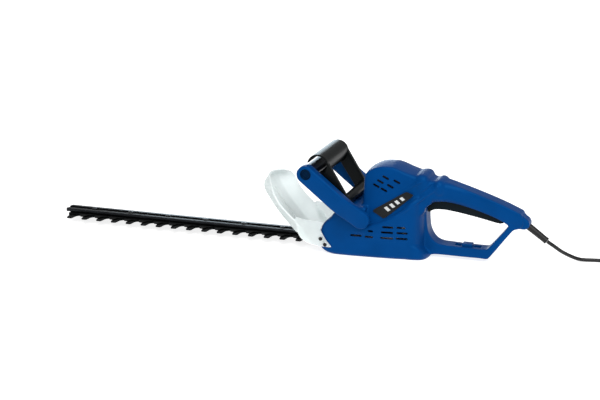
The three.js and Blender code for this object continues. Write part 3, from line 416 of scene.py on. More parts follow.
# Two raised collars behind the dome.
COLLARS = [
    [{"x": 216, "w": 28.5, "z1": 147.5}, {"x": 222, "w": 31.8, "z1": 150}, {"x": 229, "w": 31.9, "z1": 150.5},
     {"x": 235, "w": 31, "z1": 149.2}, {"x": 239, "w": 28, "z1": 145}, {"x": 242, "w": 25, "z1": 138}],
    [{"x": 249, "w": 24, "z1": 136}, {"x": 252, "w": 27, "z1": 140.4}, {"x": 256, "w": 28, "z1": 142},
     {"x": 261, "w": 27.2, "z1": 141.4}, {"x": 266, "w": 24.5, "z1": 138}, {"x": 269, "w": 21, "z1": 134}],
]
# Lips that run from the collars forward and down the sides, and the groove that is cut between them:
# x, z, radius, and how far the bead stands proud of the side, or below zero how deep it bites into it.
FRONT_LIP = [
    (234, 143, 3.4, 0.8), (227, 138.5, 3.4, 1.3), (213, 130, 3.0, 1.2), (200, 121.5, 2.6, 0.8),
    (190, 113, 2.0, 0.2),
]
REAR_LIP = [
    (257, 132, 4.0, 1.6), (251, 126, 4.0, 1.8), (244, 120, 3.6, 1.8), (235, 113, 3.2, 1.6),
    (223, 103, 2.8, 1.4), (210, 93, 2.5, 1.3), (200, 86.5, 2.3, 1.2), (188, 79.5, 2.1, 1.0),
    (172, 72.5, 1.9, 0.7),
]
GROOVE = [
    (249, 135, 2.8, -1.6), (242, 128, 2.8, -1.6), (233, 120.5, 2.6, -1.4), (221, 110.5, 2.4, -1.2),
    (211, 102, 2.1, -0.9), (200, 94, 1.8, -0.4),
]
BEAD_STEPS = 5
BEAD_SIDES = 14
OUTSIDE = 90  # a distance from the middle plane that lies outside the housing


def touch(body, place, way):
    """Where a line through place along way meets the body, in the drawing's millimetres."""
    _, location, normal, _ = body.ray_cast(to_metres(place), Vector(way))
    return location / MM - CENTRE, normal


def bead(body, line):
    """A round bead along the left side, sunk to stand proud of it or, as a cutter, to bite into it."""
    spots = []
    for x, z, r, proud in line:
        place, normal = touch(body, (x, -OUTSIDE, z), (0, 1, 0))
        spots.append((place + normal * (proud - r if proud > 0 else proud + r), r))
    fine = []
    for i in range(len(spots) - 1):
        (a, ra), (b, rb) = spots[i], spots[i + 1]
        before, after = spots[max(0, i - 1)][0], spots[min(len(spots) - 1, i + 2)][0]
        for k in range(BEAD_STEPS):
            t = k / BEAD_STEPS
            fine.append((curve(before, a, b, after, t), ra + (rb - ra) * t))
    fine.append(spots[-1])
    points = []
    for i, (place, r) in enumerate(fine):
        along = fine[min(i + 1, len(fine) - 1)][0] - fine[max(i - 1, 0)][0]
        first = along.cross(Vector((1, 0, 0))).normalized()
        second = along.cross(first).normalized()
        for k in range(BEAD_SIDES):
            a = 2 * math.pi * k / BEAD_SIDES
            points.append(place + (first * math.cos(a) + second * math.sin(a)) * r)
    return skin(points, BEAD_SIDES, "bead")


def housing_body():
    body = unite(loft(LOWER_BODY), loft(BRACKET), loft(DOME), loft(GRIP_ROOT), loft(FOOT),
                 prism(rounded(RING_OUTER, 2), -RING_HALF, RING_HALF))
    for collar in COLLARS:
        unite(body, loft([{"z0": 112, "low": 9, "high": 11, "crown": 1, **s} for s in collar], 1.5))
    cut(body, prism(rounded(RING_HOLE, 2), -THROUGH, THROUGH))
    soften(body, 1.5, 4)
    lips = [bead(body, FRONT_LIP), flipped(bead(body, FRONT_LIP)),
            bead(body, REAR_LIP), flipped(bead(body, REAR_LIP))]
    cut(body, bead(body, GROOVE), flipped(bead(body, GROOVE)))
    unite(body, *lips)
    unite(body, round_edges(prism(EXIT_BLOCK, -EXIT_HALF, EXIT_HALF), 3.2, 4))
    soften(body, 1.1, 2)
    return body


def openings():
    """Cutters for the bar's mouth, the slots of both levers, the cord's way out and two notches."""
    bar_mouth = box(50, 60, -45.5, 45.5, 11.5, 44)
    trigger_slot = prism(TRIGGER_SLOT, -TRIGGER_SLOT_HALF, TRIGGER_SLOT_HALF)
    cord_bore = lathe([(0, 6.9), (40, 6.9)], CORD_EXIT - RELIEF_DIRECTION * 20, RELIEF_DIRECTION, "exit")
    notches = [prism(slot(x, z, length, 9), -NOTCH_HALF, NOTCH_HALF)
               for x, z, length in ((289.5, 24, 11), (323.5, 23.5, 13))]
    front_lever_slot = box(91, 113, -5.5, 5.5, 60, 95)
    return [bar_mouth, trigger_slot, cord_bore, *notches, front_lever_slot]


def housing():
    body = housing_body()
    unite(body, round_edges(box(297, 315, -8, 8, 18, 28.2), 1.2))
    hollows = [loft(part, HOLLOW_STEP, SHELL_WALL) for part in (LOWER_BODY, BRACKET, DOME)]
    inner = unite(*hollows, loft(GRIP_ROOT, HOLLOW_STEP, GRIP_WALL),
                  prism(GRIP_HOLLOW, -GRIP_HOLLOW_HALF, GRIP_HOLLOW_HALF),
                  prism(EXIT_HOLLOW, -EXIT_HOLLOW_HALF, EXIT_HOLLOW_HALF),
                  prism(BAR_HOLLOW, -BAR_HOLLOW_HALF, BAR_HOLLOW_HALF))
    cut(inner, *[rod(x, z, POST_R, -THROUGH, THROUGH, 24) for x, z, _ in SCREWS])
    cut(body, inner)
    cut(body, *openings())
    for vent in DOME_VENTS:
        cut(body, prism(vent, -THROUGH, THROUGH))
    for vent in BODY_VENTS:
        cut(body, prism(vent, -THROUGH, -38), prism(vent, 38, THROUGH))
    for x, z, y in SCREWS:
        cut(body, unite(rod(x, z, HEAD_BORE_R, y, 70, 32), rod(x, z, SCREW_BORE_R, -7, y + 1, 24)))
    for x, z in GUARD_SCREWS:
        cut(body, rod(x, z, GUARD_BORE_R, -THROUGH, THROUGH, 16))
    left = copy_of(body, "shell_left")
    boolean(left, "INTERSECT", box(-100, 500, -100, -SEAM, -10, 300))
    body.name = "shell_right"
    boolean(body, "INTERSECT", box(-100, 500, SEAM, 100, -10, 300))
    return shade(left), shade(body)


# Outline of the dark plate that paints shade behind the dome's vents.
SCREEN = [(138, 112), (198, 112), (205, 122), (204, 143), (186, 150), (150, 150), (138, 138)]


def vent_shade_screen(name):
    """A dark ribbed plate behind the dome's vents: painted shade that makes the vents look dark."""
    solid = prism(rounded(SCREEN, 2), -25.6, -24.4, name)
    ribs = [box(142 + 6 * i, 143.2 + 6 * i, -26.4, -25, 114, 146) for i in range(10)]
    return shade(unite(solid, *ribs))


# -------------------------------- front handle
BOSS = (36, 147)
BOSS_R = 15.3
ARM_FOOT = (131, 71)
TUBE_R = 12
ARM_LENGTH = math.dist(BOSS, ARM_FOOT)
ARM_ANGLE = math.atan2(ARM_FOOT[1] - BOSS[1], ARM_FOOT[0] - BOSS[0])
ARM_INNER, ARM_OUTER = 62, 80  # the arm's faces at its boss, from the middle plane
FOOT_INNER, FOOT_OUTER = 55.3, 66  # and at its foot
ARM_SWELL = 0.5  # how much the arm is rounder than its boss
ARM_SHIFT = 0.8  # and how far it lies forward and below
PIVOT = (101.5, 100)
PIVOT_BORE_R = 2.8
GRIP = (52, 160)
GRIP_R = 19.2
GRIP_SHELL = 3
SWITCH_BAR_HALF = 61.2
SWITCH_LEG_INNER = 51.5
PIVOT_BAR_R = 9.2
PLUNGER_LUG = [(97, 70), (105, 70), (106, 96), (97, 96)]
PAST_ENDS = 70  # half the reach of a cut along the whole switch bar or guard
SWITCH_LEG = [
    (66, 172), (101.5, 114), (109.5, 104), (110, 97), (93, 94), (87, 97), (55, 146), (48, 152),
]


def on_arm(s, t):
    """A point s along the arm from its boss and t above its middle line."""
    return (BOSS[0] + s * math.cos(ARM_ANGLE) - t * math.sin(ARM_ANGLE),
            BOSS[1] + s * math.sin(ARM_ANGLE) + t * math.cos(ARM_ANGLE))


def arm_ring(s):
    past = max(-s, s - ARM_LENGTH, 0)
    half = math.sqrt(max((BOSS_R + ARM_SWELL) ** 2 - past ** 2, 0.01))
    inner = ARM_INNER + eased((s - 92) / 20) * (FOOT_INNER - ARM_INNER)
    outer = ARM_OUTER + eased((s - 70) / 60) * (FOOT_OUTER - ARM_OUTER)
    r = min(3.2, half * 0.6)
    ring = []
    for cy, ct, start in ((outer - r, r - half, -90), (outer - r, half - r, 0),
                          (inner + r, half - r, 90), (inner + r, r - half, 180)):
        for i in range(5):
            a = math.radians(start + 22.5 * i)
            x, z = on_arm(s, ct + r * math.sin(a))
            ring.append((x - ARM_SHIFT, cy + r * math.cos(a), z - ARM_SHIFT))
    return ring


def arm():
    turns = [BOSS_R * math.cos(math.radians(a)) for a in range(8, 90, 9)]
    stops = [-d for d in turns] + [ARM_LENGTH * i / 40 for i in range(41)] + \
        [ARM_LENGTH + d for d in reversed(turns)]
    points = [p for s in stops for p in arm_ring(s)]
    solid = skin(points, 20, "arm_right")
    cut(solid, rod(*BOSS, TUBE_R + 0.3, 60, 70.3, 64), rod(*BOSS, 9.8, 75.5, 82, 64),
        rod(*PIVOT, PIVOT_BORE_R, 57, 68, 24))
    return shade(solid)


def handle_tube():
    profile = [(0, 10.8), (1.2, 12), (138.8, 12), (140, 10.8)]
    return shade(lathe(profile, (BOSS[0], -70, BOSS[1]), (0, 1, 0), "handle_tube", 64))


def end_cap(side):
    """The tube's end as it shows in the arm: a shallow dish."""
    profile = [(0, 9.4), (2.4, 9.4), (2.9, 8.9), (2.9, 7.7), (2.5, 7.2), (1.2, 6.9), (1.2, 3.4), (1.5, 3),
               (1.5, 0)]
    return shade(lathe(profile, (BOSS[0], side * 75.7, BOSS[1]), (0, side, 0), "tube_end", 48))


def switch_bar():
    towards = math.atan2(GRIP[1] - BOSS[1], GRIP[0] - BOSS[0])
    closing = math.atan2(PIVOT[0] - BOSS[0], BOSS[1] - PIVOT[1])
    room = TUBE_R + 0.8

    def half_round(shift, way, start):
        return [(BOSS[0] + shift * math.cos(way) + room * math.cos(way + start + math.pi * i / 20),
                 BOSS[1] + shift * math.sin(way) + room * math.sin(way + start + math.pi * i / 20))
                for i in range(21)]

    bar = unite(rod(*GRIP, GRIP_R, -SWITCH_BAR_HALF, SWITCH_BAR_HALF, 96),
                prism(SWITCH_LEG, SWITCH_LEG_INNER, SWITCH_BAR_HALF),
                prism(SWITCH_LEG, -SWITCH_BAR_HALF, -SWITCH_LEG_INNER),
                rod(*PIVOT, PIVOT_BAR_R, -SWITCH_BAR_HALF, SWITCH_BAR_HALF, 64),
                prism(PLUNGER_LUG, -4, 4))
    tube_room = half_round(-12, towards, math.pi / 2) + half_round(6.2, closing, -math.pi / 2)
    cut(bar, rod(*GRIP, GRIP_R - GRIP_SHELL, -PAST_ENDS, PAST_ENDS, 96),
        prism(tube_room, -PAST_ENDS, PAST_ENDS))
    soften(bar, 0.9, 3)
    cut(bar, rod(*PIVOT, PIVOT_BORE_R, -PAST_ENDS, PAST_ENDS, 24))
    bar.name = "switch_bar"
    return shade(bar, 50)


# -------------------------------- guard
GUARD_LINE = [(15.5, 19.8), (-6, 42), (-29.5, 69), (-48.5, 96.5), (-63.5, 127)]
GUARD_HALF = 60
GUARD_DEPTH = 22  # how far the rim stands behind the middle of the tray
BELLY = 10  # how much deeper the tray is at a third of its height
FLAT_RIM = 0.58  # share of the way to the rim at which it starts to roll back
SHOULDER = 0.76  # share of the height at which the straight sides end
GUARD_WALL = 3
TAB_INNER, TAB_OUTER = 55.3, 57.9
TAB = [
    (15, 33), (21, 24.5), (34, 17), (54, 13.8), (78, 13.5), (66, 27), (57.5, 42), (57, 47), (64, 59),
    (46, 60), (32, 60.5), (22, 61), (12, 63.5), (8, 58), (13, 45),
]


def guard_line(u):
    """A point of the guard's middle line, u from its bottom to its top."""
    points = [Vector((x, 0, z)) for x, z in GUARD_LINE]
    points = [points[0] * 2 - points[1], *points, points[-1] * 2 - points[-2]]
    u = min(1.0, max(0.0, u)) * (len(GUARD_LINE) - 1)
    i = min(int(u), len(GUARD_LINE) - 2)
    return curve(*points[i:i + 4], u - i)


def guard_point(y, u, rim):
    """A point of the front face, rim from 0 on the middle line to 1 on the rim."""
    line = guard_line(u)
    shallow_top = 0.75 * eased((u - 0.7) / 0.3) * (1 - eased(abs(y) / 58))
    belly = BELLY * eased(u / 0.3) * (1 - eased((u - 0.3) / 0.4))
    wrap = (GUARD_DEPTH + belly) * (1 - shallow_top) * eased((rim - FLAT_RIM) / (1 - FLAT_RIM)) ** 0.9
    return Vector((line.x + wrap + 4 * rim * rim, y, line.z - 0.12 * wrap))


def guard_rim(steps=26, turn=44):
    """Up one side, over the top and down the other: how far across, how far up, where its row starts."""
    up = [SHOULDER * i / steps for i in range(steps + 1)]
    over = []
    for i in range(1, turn):
        a = math.pi - math.pi * i / turn
        across = math.copysign(abs(math.cos(a)) ** 0.8, math.cos(a))
        over.append((across, SHOULDER + (1 - SHOULDER) * math.sin(a) ** 0.6, SHOULDER))
    return [(-1, u, u) for u in up] + over + [(1, u, u) for u in reversed(up)]


def guard():
    across = 30
    front = []
    for v, u, spine in guard_rim():
        narrow = GUARD_HALF * (1 - 0.06 * (1 - u))
        front.append([guard_point(v * k / across * narrow, spine + (u - spine) * k / across, k / across)
                      for k in range(across + 1)])
    rows = len(front)

    def at(i, k):
        return front[min(rows - 1, max(0, i))][min(across, max(0, k))]

    back = []
    for i in range(rows):
        row = []
        for k in range(across + 1):
            along = at(i + 1, max(1, k)) - at(i - 1, max(1, k))
            out = at(i, k + 1) - at(i, k - 1)
            normal = out.cross(along).normalized() if k else Vector((0.8, 0, 0.6))
            row.append(at(i, k) + normal * GUARD_WALL)
        back.append(row)
    points = [p for row in front for p in row] + [p for row in back for p in row]
    width = across + 1
    half = rows * width
    faces = []
    for i in range(rows - 1):
        for k in range(across):
            a = i * width + k
            faces.append((a, a + 1, a + 1 + width, a + width))
            faces.append((half + a, half + a + width, half + a + 1 + width, half + a + 1))
        edge = i * width + across
        faces.append((edge, half + edge, half + edge + width, edge + width))
    last = (rows - 1) * width
    for k in range(across):
        faces.append((k + 1, k, half + k, half + k + 1))
        faces.append((last + k, last + k + 1, half + last + k + 1, half + last + k))
    shield = mesh_object("guard_shield", points, faces)
    tab = rounded(TAB, 2, 0.12)
    unite(shield, prism(tab, TAB_INNER, TAB_OUTER), prism(tab, -TAB_OUTER, -TAB_INNER))
    soften(shield, 0.8, 8)
    mouth = box(0, 70, -43, 43, 0, 30)
    cut(shield, *[rod(x, z, 2.3, -PAST_ENDS, PAST_ENDS, 24) for x, z in GUARD_SCREWS], mouth)
    return shade(shield, 40)


# -------------------------------- cutting bar
TIP_X = -462
BLADE_TIP_X = -452
BAR_HALF = 14
BAR_Z = 18
BAR_TOP = 23.8
BOLT_X = [-408 + 75 * i for i in range(6)]
ROOT_BOLT_X = 68
GEAR_X = 130
PITCH = 30
FIRST_TOOTH_X = -411
TEETH = 15
LOWER_BLADE_Z, UPPER_BLADE_Z = 13, 15.5
BLADE_THICK = 2.2
BLADE_HALF = 19.5  # at the roots of the teeth
BOLT_SLOT = (24, 6.8)  # long enough for the stroke
TOP_GROOVE_HALF, TOP_GROOVE_DEPTH = 6.2, 2.2
UNDER_GROOVE_HALF = 7.5
BOLT_LOW = 9.7
NUT_R = 5.4
CLEAR = 5  # how far a cutter stands out of what it cuts
BLADE_ROOT = [(58, 13.5), (58, 9), (94, 9), (98, 22), (110, 30), (150, 30), (164, 22), (168, 12)]
YOKE = [(-31, -15), (-24, -23), (24, -23), (31, -15), (31, 15), (24, 23), (-24, 23), (-31, 15)]


def blade(z, first_tooth, reach, lead, name):
    """A flat blade: teeth on both edges, a slot for each bolt, and a yoke round the gear's cam.

    reach is how far its teeth stand from the middle, lead how far they are moved along the bar.
    """
    half = [(BLADE_TIP_X, BLADE_HALF)] if lead else []
    for i in range(first_tooth, TEETH):
        x = FIRST_TOOTH_X + PITCH * i + lead
        flank = [(PITCH / 2, BLADE_HALF), (12.5, 19.7), (10.4, 20.5), (8.6, 22), (7.3, 24), (6.5, 26.5),
                 (5.2, reach - 2.5), (4.6, reach - 0.9), (3.6, reach)]
        half += [(max(BLADE_TIP_X, x - out), y) for out, y in flank]
        half += [(x + out, y) for out, y in reversed(flank)]
    clean = [half[0]]
    for point in half[1:]:
        if math.dist(point, clean[-1]) > 0.05:
            clean.append(point)
    half = clean + BLADE_ROOT
    outline = half + [(x, -y) for x, y in reversed(half)]
    solid = plate(outline, z, z + BLADE_THICK, name)
    cut(solid, plate([(GEAR_X + x, y) for x, y in YOKE], z - CLEAR, z + CLEAR),
        *[plate(slot(x, 0, *BOLT_SLOT), z - CLEAR, z + CLEAR) for x in [*BOLT_X, ROOT_BOLT_X]])
    round_edges(solid, 0.5, 2, 60)
    return shade(solid)


def support_bar():
    nose = [(TIP_X + 3.5 * (1 + math.cos(a)), BAR_HALF * math.sin(a))
            for a in [math.pi / 2 + math.pi * i / 24 for i in range(25)]]
    solid = plate([*nose, (86, -BAR_HALF), (86, BAR_HALF)], BAR_Z, BAR_TOP, "bar")
    round_edges(solid, 1.5, 4, 40)
    cut(solid, box(TIP_X - CLEAR, 90, -TOP_GROOVE_HALF, TOP_GROOVE_HALF, BAR_TOP - TOP_GROOVE_DEPTH, 60),
        box(TIP_X + 18, 90, -UNDER_GROOVE_HALF, UNDER_GROOVE_HALF, 0, BAR_Z + 1),
        *[plate(circle(x, 0, 2.9, 20), 0, 60) for x in [*BOLT_X, ROOT_BOLT_X]])
    return shade(solid)


def bolt(x, name):
    """A domed head below the blades, a shank, and a chamfered nut in the bar's groove."""
    profile = [(0, 4.6), (0.5, 5.6), (1.2, 6), (3, 6), (3, 2.5), (BAR_TOP - 10, 2.5)]
    solid = lathe(profile, (x, 0, BOLT_LOW), (0, 0, 1), name, 32)
    nut = cut(round_edges(plate(circle(x, 0, NUT_R, 6), BAR_TOP - 1.9, BAR_TOP + 1.2), 0.5, 2),
              plate(circle(x, 0, 2.4, 20), BAR_TOP + 0.6, BAR_TOP + 3))
    return shade(unite(solid, nut))


# -------------------------------- trigger and screws
TRIGGER = [
    (235.8, 77.5), (246, 85.3), (266, 86.3), (293, 83), (328, 76.8), (361, 69.8), (368.5, 71.6), (370, 76),
    (368, 80.5), (361, 84.5), (329, 95), (294, 104), (268, 108), (259, 114), (247, 114), (241.5, 100),
    (235.8, 92),
]
TRIGGER_HALF = 8
TRIGGER_PIN = (252, 109)


def trigger():
    solid = prism(rounded(TRIGGER, 2, 0.2), -TRIGGER_HALF, TRIGGER_HALF, "trigger_lever")
    soften(solid, 0.8, 4)
    cut(solid, rod(*TRIGGER_PIN, 2.35, -20, 20, 24))
    return shade(solid, 50)


SPRING = {"x": 278, "low": 107.1, "high": 128.1, "turns": 5, "radius": 2.5, "wire": 0.5}


def coil_spring():
    """The trigger's return spring, wound from round wire."""
    steps, sides = 24, 10
    points = []
    for i in range(SPRING["turns"] * steps + 1):
        a = 2 * math.pi * i / steps
        out = Vector((math.cos(a), math.sin(a), 0))
        rise = (SPRING["high"] - SPRING["low"]) * i / (SPRING["turns"] * steps)
        middle = Vector((SPRING["x"], 0, SPRING["low"] + rise)) + out * SPRING["radius"]
        for k in range(sides):
            b = 2 * math.pi * k / sides
            points.append(middle + (out * math.cos(b) + Vector((0, 0, math.sin(b)))) * SPRING["wire"])
    return shade(skin(points, sides, "return_spring"))


def screw(x, z, y, tip, name, side=1, head=4.1, shank=2.1, depth=2.7):
    """A pan-head screw along Y with a cross recess; y is the underside of its head."""
    length = y - tip
    profile = [(0, shank * 0.4), (1.5, shank), (length, shank), (length, head), (length + depth * 0.4, head),
               (length + depth * 0.8, head * 0.8), (length + depth, head * 0.45)]
    solid = lathe(profile, (x, side * tip, z), (0, side, 0), name, 28)
    y0, y1 = sorted((side * (y + depth * 0.35), side * (y + 9)))
    cut(solid, box(x - head * 0.6, x + head * 0.6, y0, y1, z - 0.45, z + 0.45),
        box(x - 0.45, x + 0.45, y0, y1, z - head * 0.6, z + head * 0.6))
    return shade(solid)


# -------------------------------- label
LABEL = [(144.7, 83.1), (204, 120.5), (218, 115.5), (167.6, 70.8)]
DOME_HALF = 31  # half the dome's width at the height of its shoulder
DOME_SHOULDER = 153
DRAFT = (45.5 - DOME_HALF) / 98  # how fast the dome's side leans outwards on the way down


def on_dome_side(outline, low, high, name, side=-1):
    """A thin piece that lies along the dome's leaning side, between two heights above it."""
    first, second = ([(x, side * (DOME_HALF + DRAFT * (DOME_SHOULDER - z) + lift), z) for x, z in outline]
                     for lift in (low, high))
    return between(first, second, name)


def label_plate(name):
    """A plain plate with rounded corners and a sunk field inside a narrow rim."""
    def inset(share):
        cx, cz = (sum(p[k] for p in LABEL) / 4 for k in (0, 1))
        return [(cx + (x - cx) * share, cz + (z - cz) * share) for x, z in LABEL]
    solid = on_dome_side(rounded(LABEL, 2, 0.07), 0.5, 1.6, name)
    cut(solid, on_dome_side(rounded(inset(0.9), 2, 0.07), 1.25, 3, "field"))
    return shade(solid)


def label_marks(name):
    """Four plain slanted bars, spread along the plate and drawn between its long edges."""
    upper_left, upper_right, lower_right, lower_left = (Vector(p) for p in LABEL)
    along = (upper_right - upper_left).normalized() * 2.7
    lean = Vector((2, 1))
    bars = []
    for i in range(4):
        t = 0.27 + 0.155 * i
        upper, lower = upper_left.lerp(upper_right, t), lower_left.lerp(lower_right, t)
        a, b = upper.lerp(lower, 0.28), upper.lerp(lower, 0.74)
        bars.append(on_dome_side([a - along + lean, a + along + lean, b + along, b - along], 1.15, 1.4, name))
    return shade(unite(*bars))


# -------------------------------- cord
CORD_ROUTE = [
    (442.8, 0, 44.6), (446.4, 0.4, 42), (450.8, 2.4, 38.6), (456, 6.4, 33.8), (462.7, 14, 26.4),
    (470.1, 23, 19.2), (477.7, 31.4, 13), (485.6, 38, 8), (493.6, 43, 4.8), (502, 46.6, 3.5),
    (512, 49.4, 3.3), (527, 52, 3.3), (550, 53.6, 3.3), (575, 54, 3.3), (600, 54, 3.3), (624, 53.2, 3.3),
    (646, 49.5, 3.3), (663, 41.5, 3.3),
    (673.5, 29, 3.3), (676, 13, 3.3), (670, -2, 3.3), (658, -13.5, 3.3), (642, -19, 3.3), (626, -20, 3.6),
    (612, -20, 5), (601.5, -20, 6.8), (592.3, -20, 7.5),
]
CORD_R = 3.2
PLUG = Vector((592, -20, 7.5))
PLUG_RINGS = [  # distance from the cord's end, half width, half height
    (-38, 7.6, 5.8), (-37.4, 8.4, 6.4), (-36, 10.2, 7.1), (-30, 11.1, 7.25), (-24, 11.4, 7.3),
    (-19, 10.4, 7.1), (-14, 9, 6.8),
]
PIN_PROFILE = [(0, 1.2), (0.6, 2), (1.2, 2.3), (15.5, 2.3)]
RELIEF_END = Vector((442.18, 0, 45.05))
RELIEF_R, RELIEF_TIP_R = 6.25, 5.6


def smooth_route(points, steps=8):
    """The centripetal curve through the points, as the CAD tube follows it."""
    points = [Vector(p) for p in points]
    points = [points[0] * 2 - points[1], *points, points[-1] * 2 - points[-2]]
    route = []
    for a, b, c, d in zip(points, points[1:], points[2:], points[3:]):
        ab, bc, cd = ((q - p).length ** 0.5 for p, q in ((a, b), (b, c), (c, d)))
        m1 = (b - a) / ab - (c - a) / (ab + bc) + (c - b) / bc
        m2 = (c - b) / bc - (d - b) / (bc + cd) + (d - c) / cd
        for i in range(steps):
            t = i / steps
            route.append(b * (2 * t ** 3 - 3 * t * t + 1) + m1 * bc * (t ** 3 - 2 * t * t + t)
                         + c * (3 * t * t - 2 * t ** 3) + m2 * bc * (t ** 3 - t * t))
    return [*route, points[-2]]


def cord():
    route = smooth_route(CORD_ROUTE)
    data = bpy.data.curves.new("flex", "CURVE")
    data.dimensions = "3D"
    data.bevel_depth = CORD_R * MM
    data.bevel_resolution = 6
    data.use_fill_caps = True
    line = data.splines.new("POLY")
    line.points.add(len(route) - 1)
    for point, place in zip(line.points, route):
        point.co = (*to_metres(place), 1)
    line.use_smooth = True
    obj = bpy.data.objects.new("flex", data)
    bpy.context.scene.collection.objects.link(obj)
    length = sum((b - a).length for a, b in zip(route, route[1:])) * MM
    return obj, length


def plug():
    """The plug's body with its ribbed neck, and its two pins."""
    rings = list(PLUG_RINGS)
    for i in range(5):
        x = -13 + 2.6 * i
        w = 8.2 - 0.85 * i
        h = w * 0.82
        rings += [(x, w, h), (x + 1.3, w, h), (x + 1.5, w - 1.2, h - 0.9), (x + 2.4, w - 1.3, h - 1)]
    rings.append((0, 4.4, 4.2))
    round_40 = [(math.cos(math.pi * i / 20), math.sin(math.pi * i / 20)) for i in range(40)]
    squarish = [(math.copysign(abs(c) ** 0.7, c), math.copysign(abs(s) ** 0.7, s)) for c, s in round_40]
    points = [PLUG + Vector((x, w * c, h * s)) for x, w, h in rings for c, s in squarish]
    body = shade(skin(points, 40, "plug_body"), 40)
    pins = [lathe(PIN_PROFILE, PLUG + Vector((-53.5, y, 0)), (1, 0, 0), "plug_pins", 20) for y in (-7, 7)]
    return body, shade(unite(*pins))


def strain_relief():
    start = CORD_EXIT - RELIEF_DIRECTION * 14
    length = (RELIEF_END - start).length
    taper = RELIEF_R - RELIEF_TIP_R
    profile = [(0, 7.1), (3, 7.1), (3, 6.4), (16, RELIEF_R)]
    profile += [(16 + (length - 20) * i / 8, RELIEF_R - taper * i / 8) for i in range(1, 9)]
    profile += [(length - 3.4, RELIEF_TIP_R), (length - 2.8, 6.0), (length - 0.8, 6.0), (length, 5.4)]
    return shade(lathe(profile, start, RELIEF_DIRECTION, "relief_sleeve", 32), 40)


# -------------------------------- materials
def shader(name, color, roughness, metallic=0.0, **sockets):
    material = bpy.data.materials.new(name)
    material.use_nodes = True
    bsdf = material.node_tree.nodes["Principled BSDF"]
    bsdf.inputs["Base Color"].default_value = (*color, 1)
    bsdf.inputs["Roughness"].default_value = roughness
    bsdf.inputs["Metallic"].default_value = metallic
    for key, value in sockets.items():
        plain = (*value, 1) if isinstance(value, tuple) else value  # colours are tuples, radii are lists
        bsdf.inputs[key.replace("_", " ")].default_value = plain
    return material


def noise(material, scale, detail=4.0, stretch=(1, 1, 1)):
    tree = material.node_tree
    coordinates = tree.nodes.new("ShaderNodeTexCoord")
    mapping = tree.nodes.new("ShaderNodeMapping")
    mapping.inputs["Scale"].default_value = stretch
    texture = tree.nodes.new("ShaderNodeTexNoise")
    texture.inputs["Scale"].default_value = scale
    texture.inputs["Detail"].default_value = detail
    tree.links.new(coordinates.outputs["Object"], mapping.inputs["Vector"])
    tree.links.new(mapping.outputs["Vector"], texture.inputs["Vector"])
    return texture.outputs["Fac"]


def ramp(material, source, stops):
    tree = material.node_tree
    node = tree.nodes.new("ShaderNodeValToRGB")
    node.color_ramp.elements[0].position = stops[0][0]
    node.color_ramp.elements[0].color = (*stops[0][1], 1)
    node.color_ramp.elements[1].position = stops[-1][0]
    node.color_ramp.elements[1].color = (*stops[-1][1], 1)
    for position, color in stops[1:-1]:
        node.color_ramp.elements.new(position).color = (*color, 1)
    tree.links.new(source, node.inputs["Fac"])
    return node.outputs["Color"]


def span(material, source, low, high):
    tree = material.node_tree
    node = tree.nodes.new("ShaderNodeMapRange")
    node.inputs["To Min"].default_value = low
    node.inputs["To Max"].default_value = high
    tree.links.new(source, node.inputs["Value"])
    return node.outputs["Result"]


def into(material, socket, source):
    bsdf = material.node_tree.nodes["Principled BSDF"]
    material.node_tree.links.new(source, bsdf.inputs[socket])


def bump(material, source, strength, distance):
    tree = material.node_tree
    node = tree.nodes.new("ShaderNodeBump")
    node.inputs["Strength"].default_value = strength
    node.inputs["Distance"].default_value = distance
    tree.links.new(source, node.inputs["Height"])
    into(material, "Normal", node.outputs["Normal"])


def tinted(color, share):
    return tuple(min(1.0, c * share) for c in color)


def moulded(name, color, roughness, grain=900.0, relief=0.00012, **sockets):
    """Injection-moulded plastic: a fine spark-eroded grain, slight flow mottling and handling sheen."""
    material = shader(name, color, roughness, **sockets)
    mottle = noise(material, 22, 5)
    into(material, "Base Color", ramp(material, mottle, [
        (0.3, tinted(color, 0.9)), (0.5, color), (0.72, tinted(color, 1.1))]))
    into(material, "Roughness", span(material, noise(material, 60, 6), roughness * 0.82, roughness * 1.2))
    bump(material, noise(material, grain, 2), 0.35, relief)
    return material


def metal(name, color, roughness, stretch=(1, 1, 1), scale=140.0, relief=0.00008, **sockets):
    """Worked metal: fine marks drawn out along one axis, and patches that are a little darker."""
    material = shader(name, color, roughness, 1.0, **sockets)
    marks = noise(material, scale, 6, stretch)
    into(material, "Base Color", ramp(material, noise(material, 30, 5), [
        (0.25, tinted(color, 0.8)), (0.6, color), (0.8, tinted(color, 1.12))]))
    into(material, "Roughness", span(material, marks, roughness * 0.75, roughness * 1.3))
    bump(material, marks, 0.3, relief)
    return material


BLUE = (0.0002, 0.036, 0.158)
NAVY = (0.0002, 0.003, 0.018)
GRIP_BLACK = (0.0022, 0.0032, 0.0036)
BLACK = (0.002, 0.006, 0.009)
WHITE = (0.57, 0.645, 0.635)
BLUE_SHEEN = {"Specular_IOR_Level": 0.2, "Specular_Tint": (0.08, 0.5, 1.0)}
DULL = {"Specular_IOR_Level": 0.08}
SATIN = {"Specular_IOR_Level": 0.2}
# The guard's emission is painted light, a faint glow that lifts its shade; the subsurface part is its real
# translucency.
GLOW_AND_TRANSLUCENCY = {"Emission_Color": (0.86, 1.0, 0.97), "Emission_Strength": 0.06, "Subsurface_Weight": 0.9,
               "Subsurface_Scale": 0.02, "Subsurface_Radius": [1.0, 1.0, 1.0]}


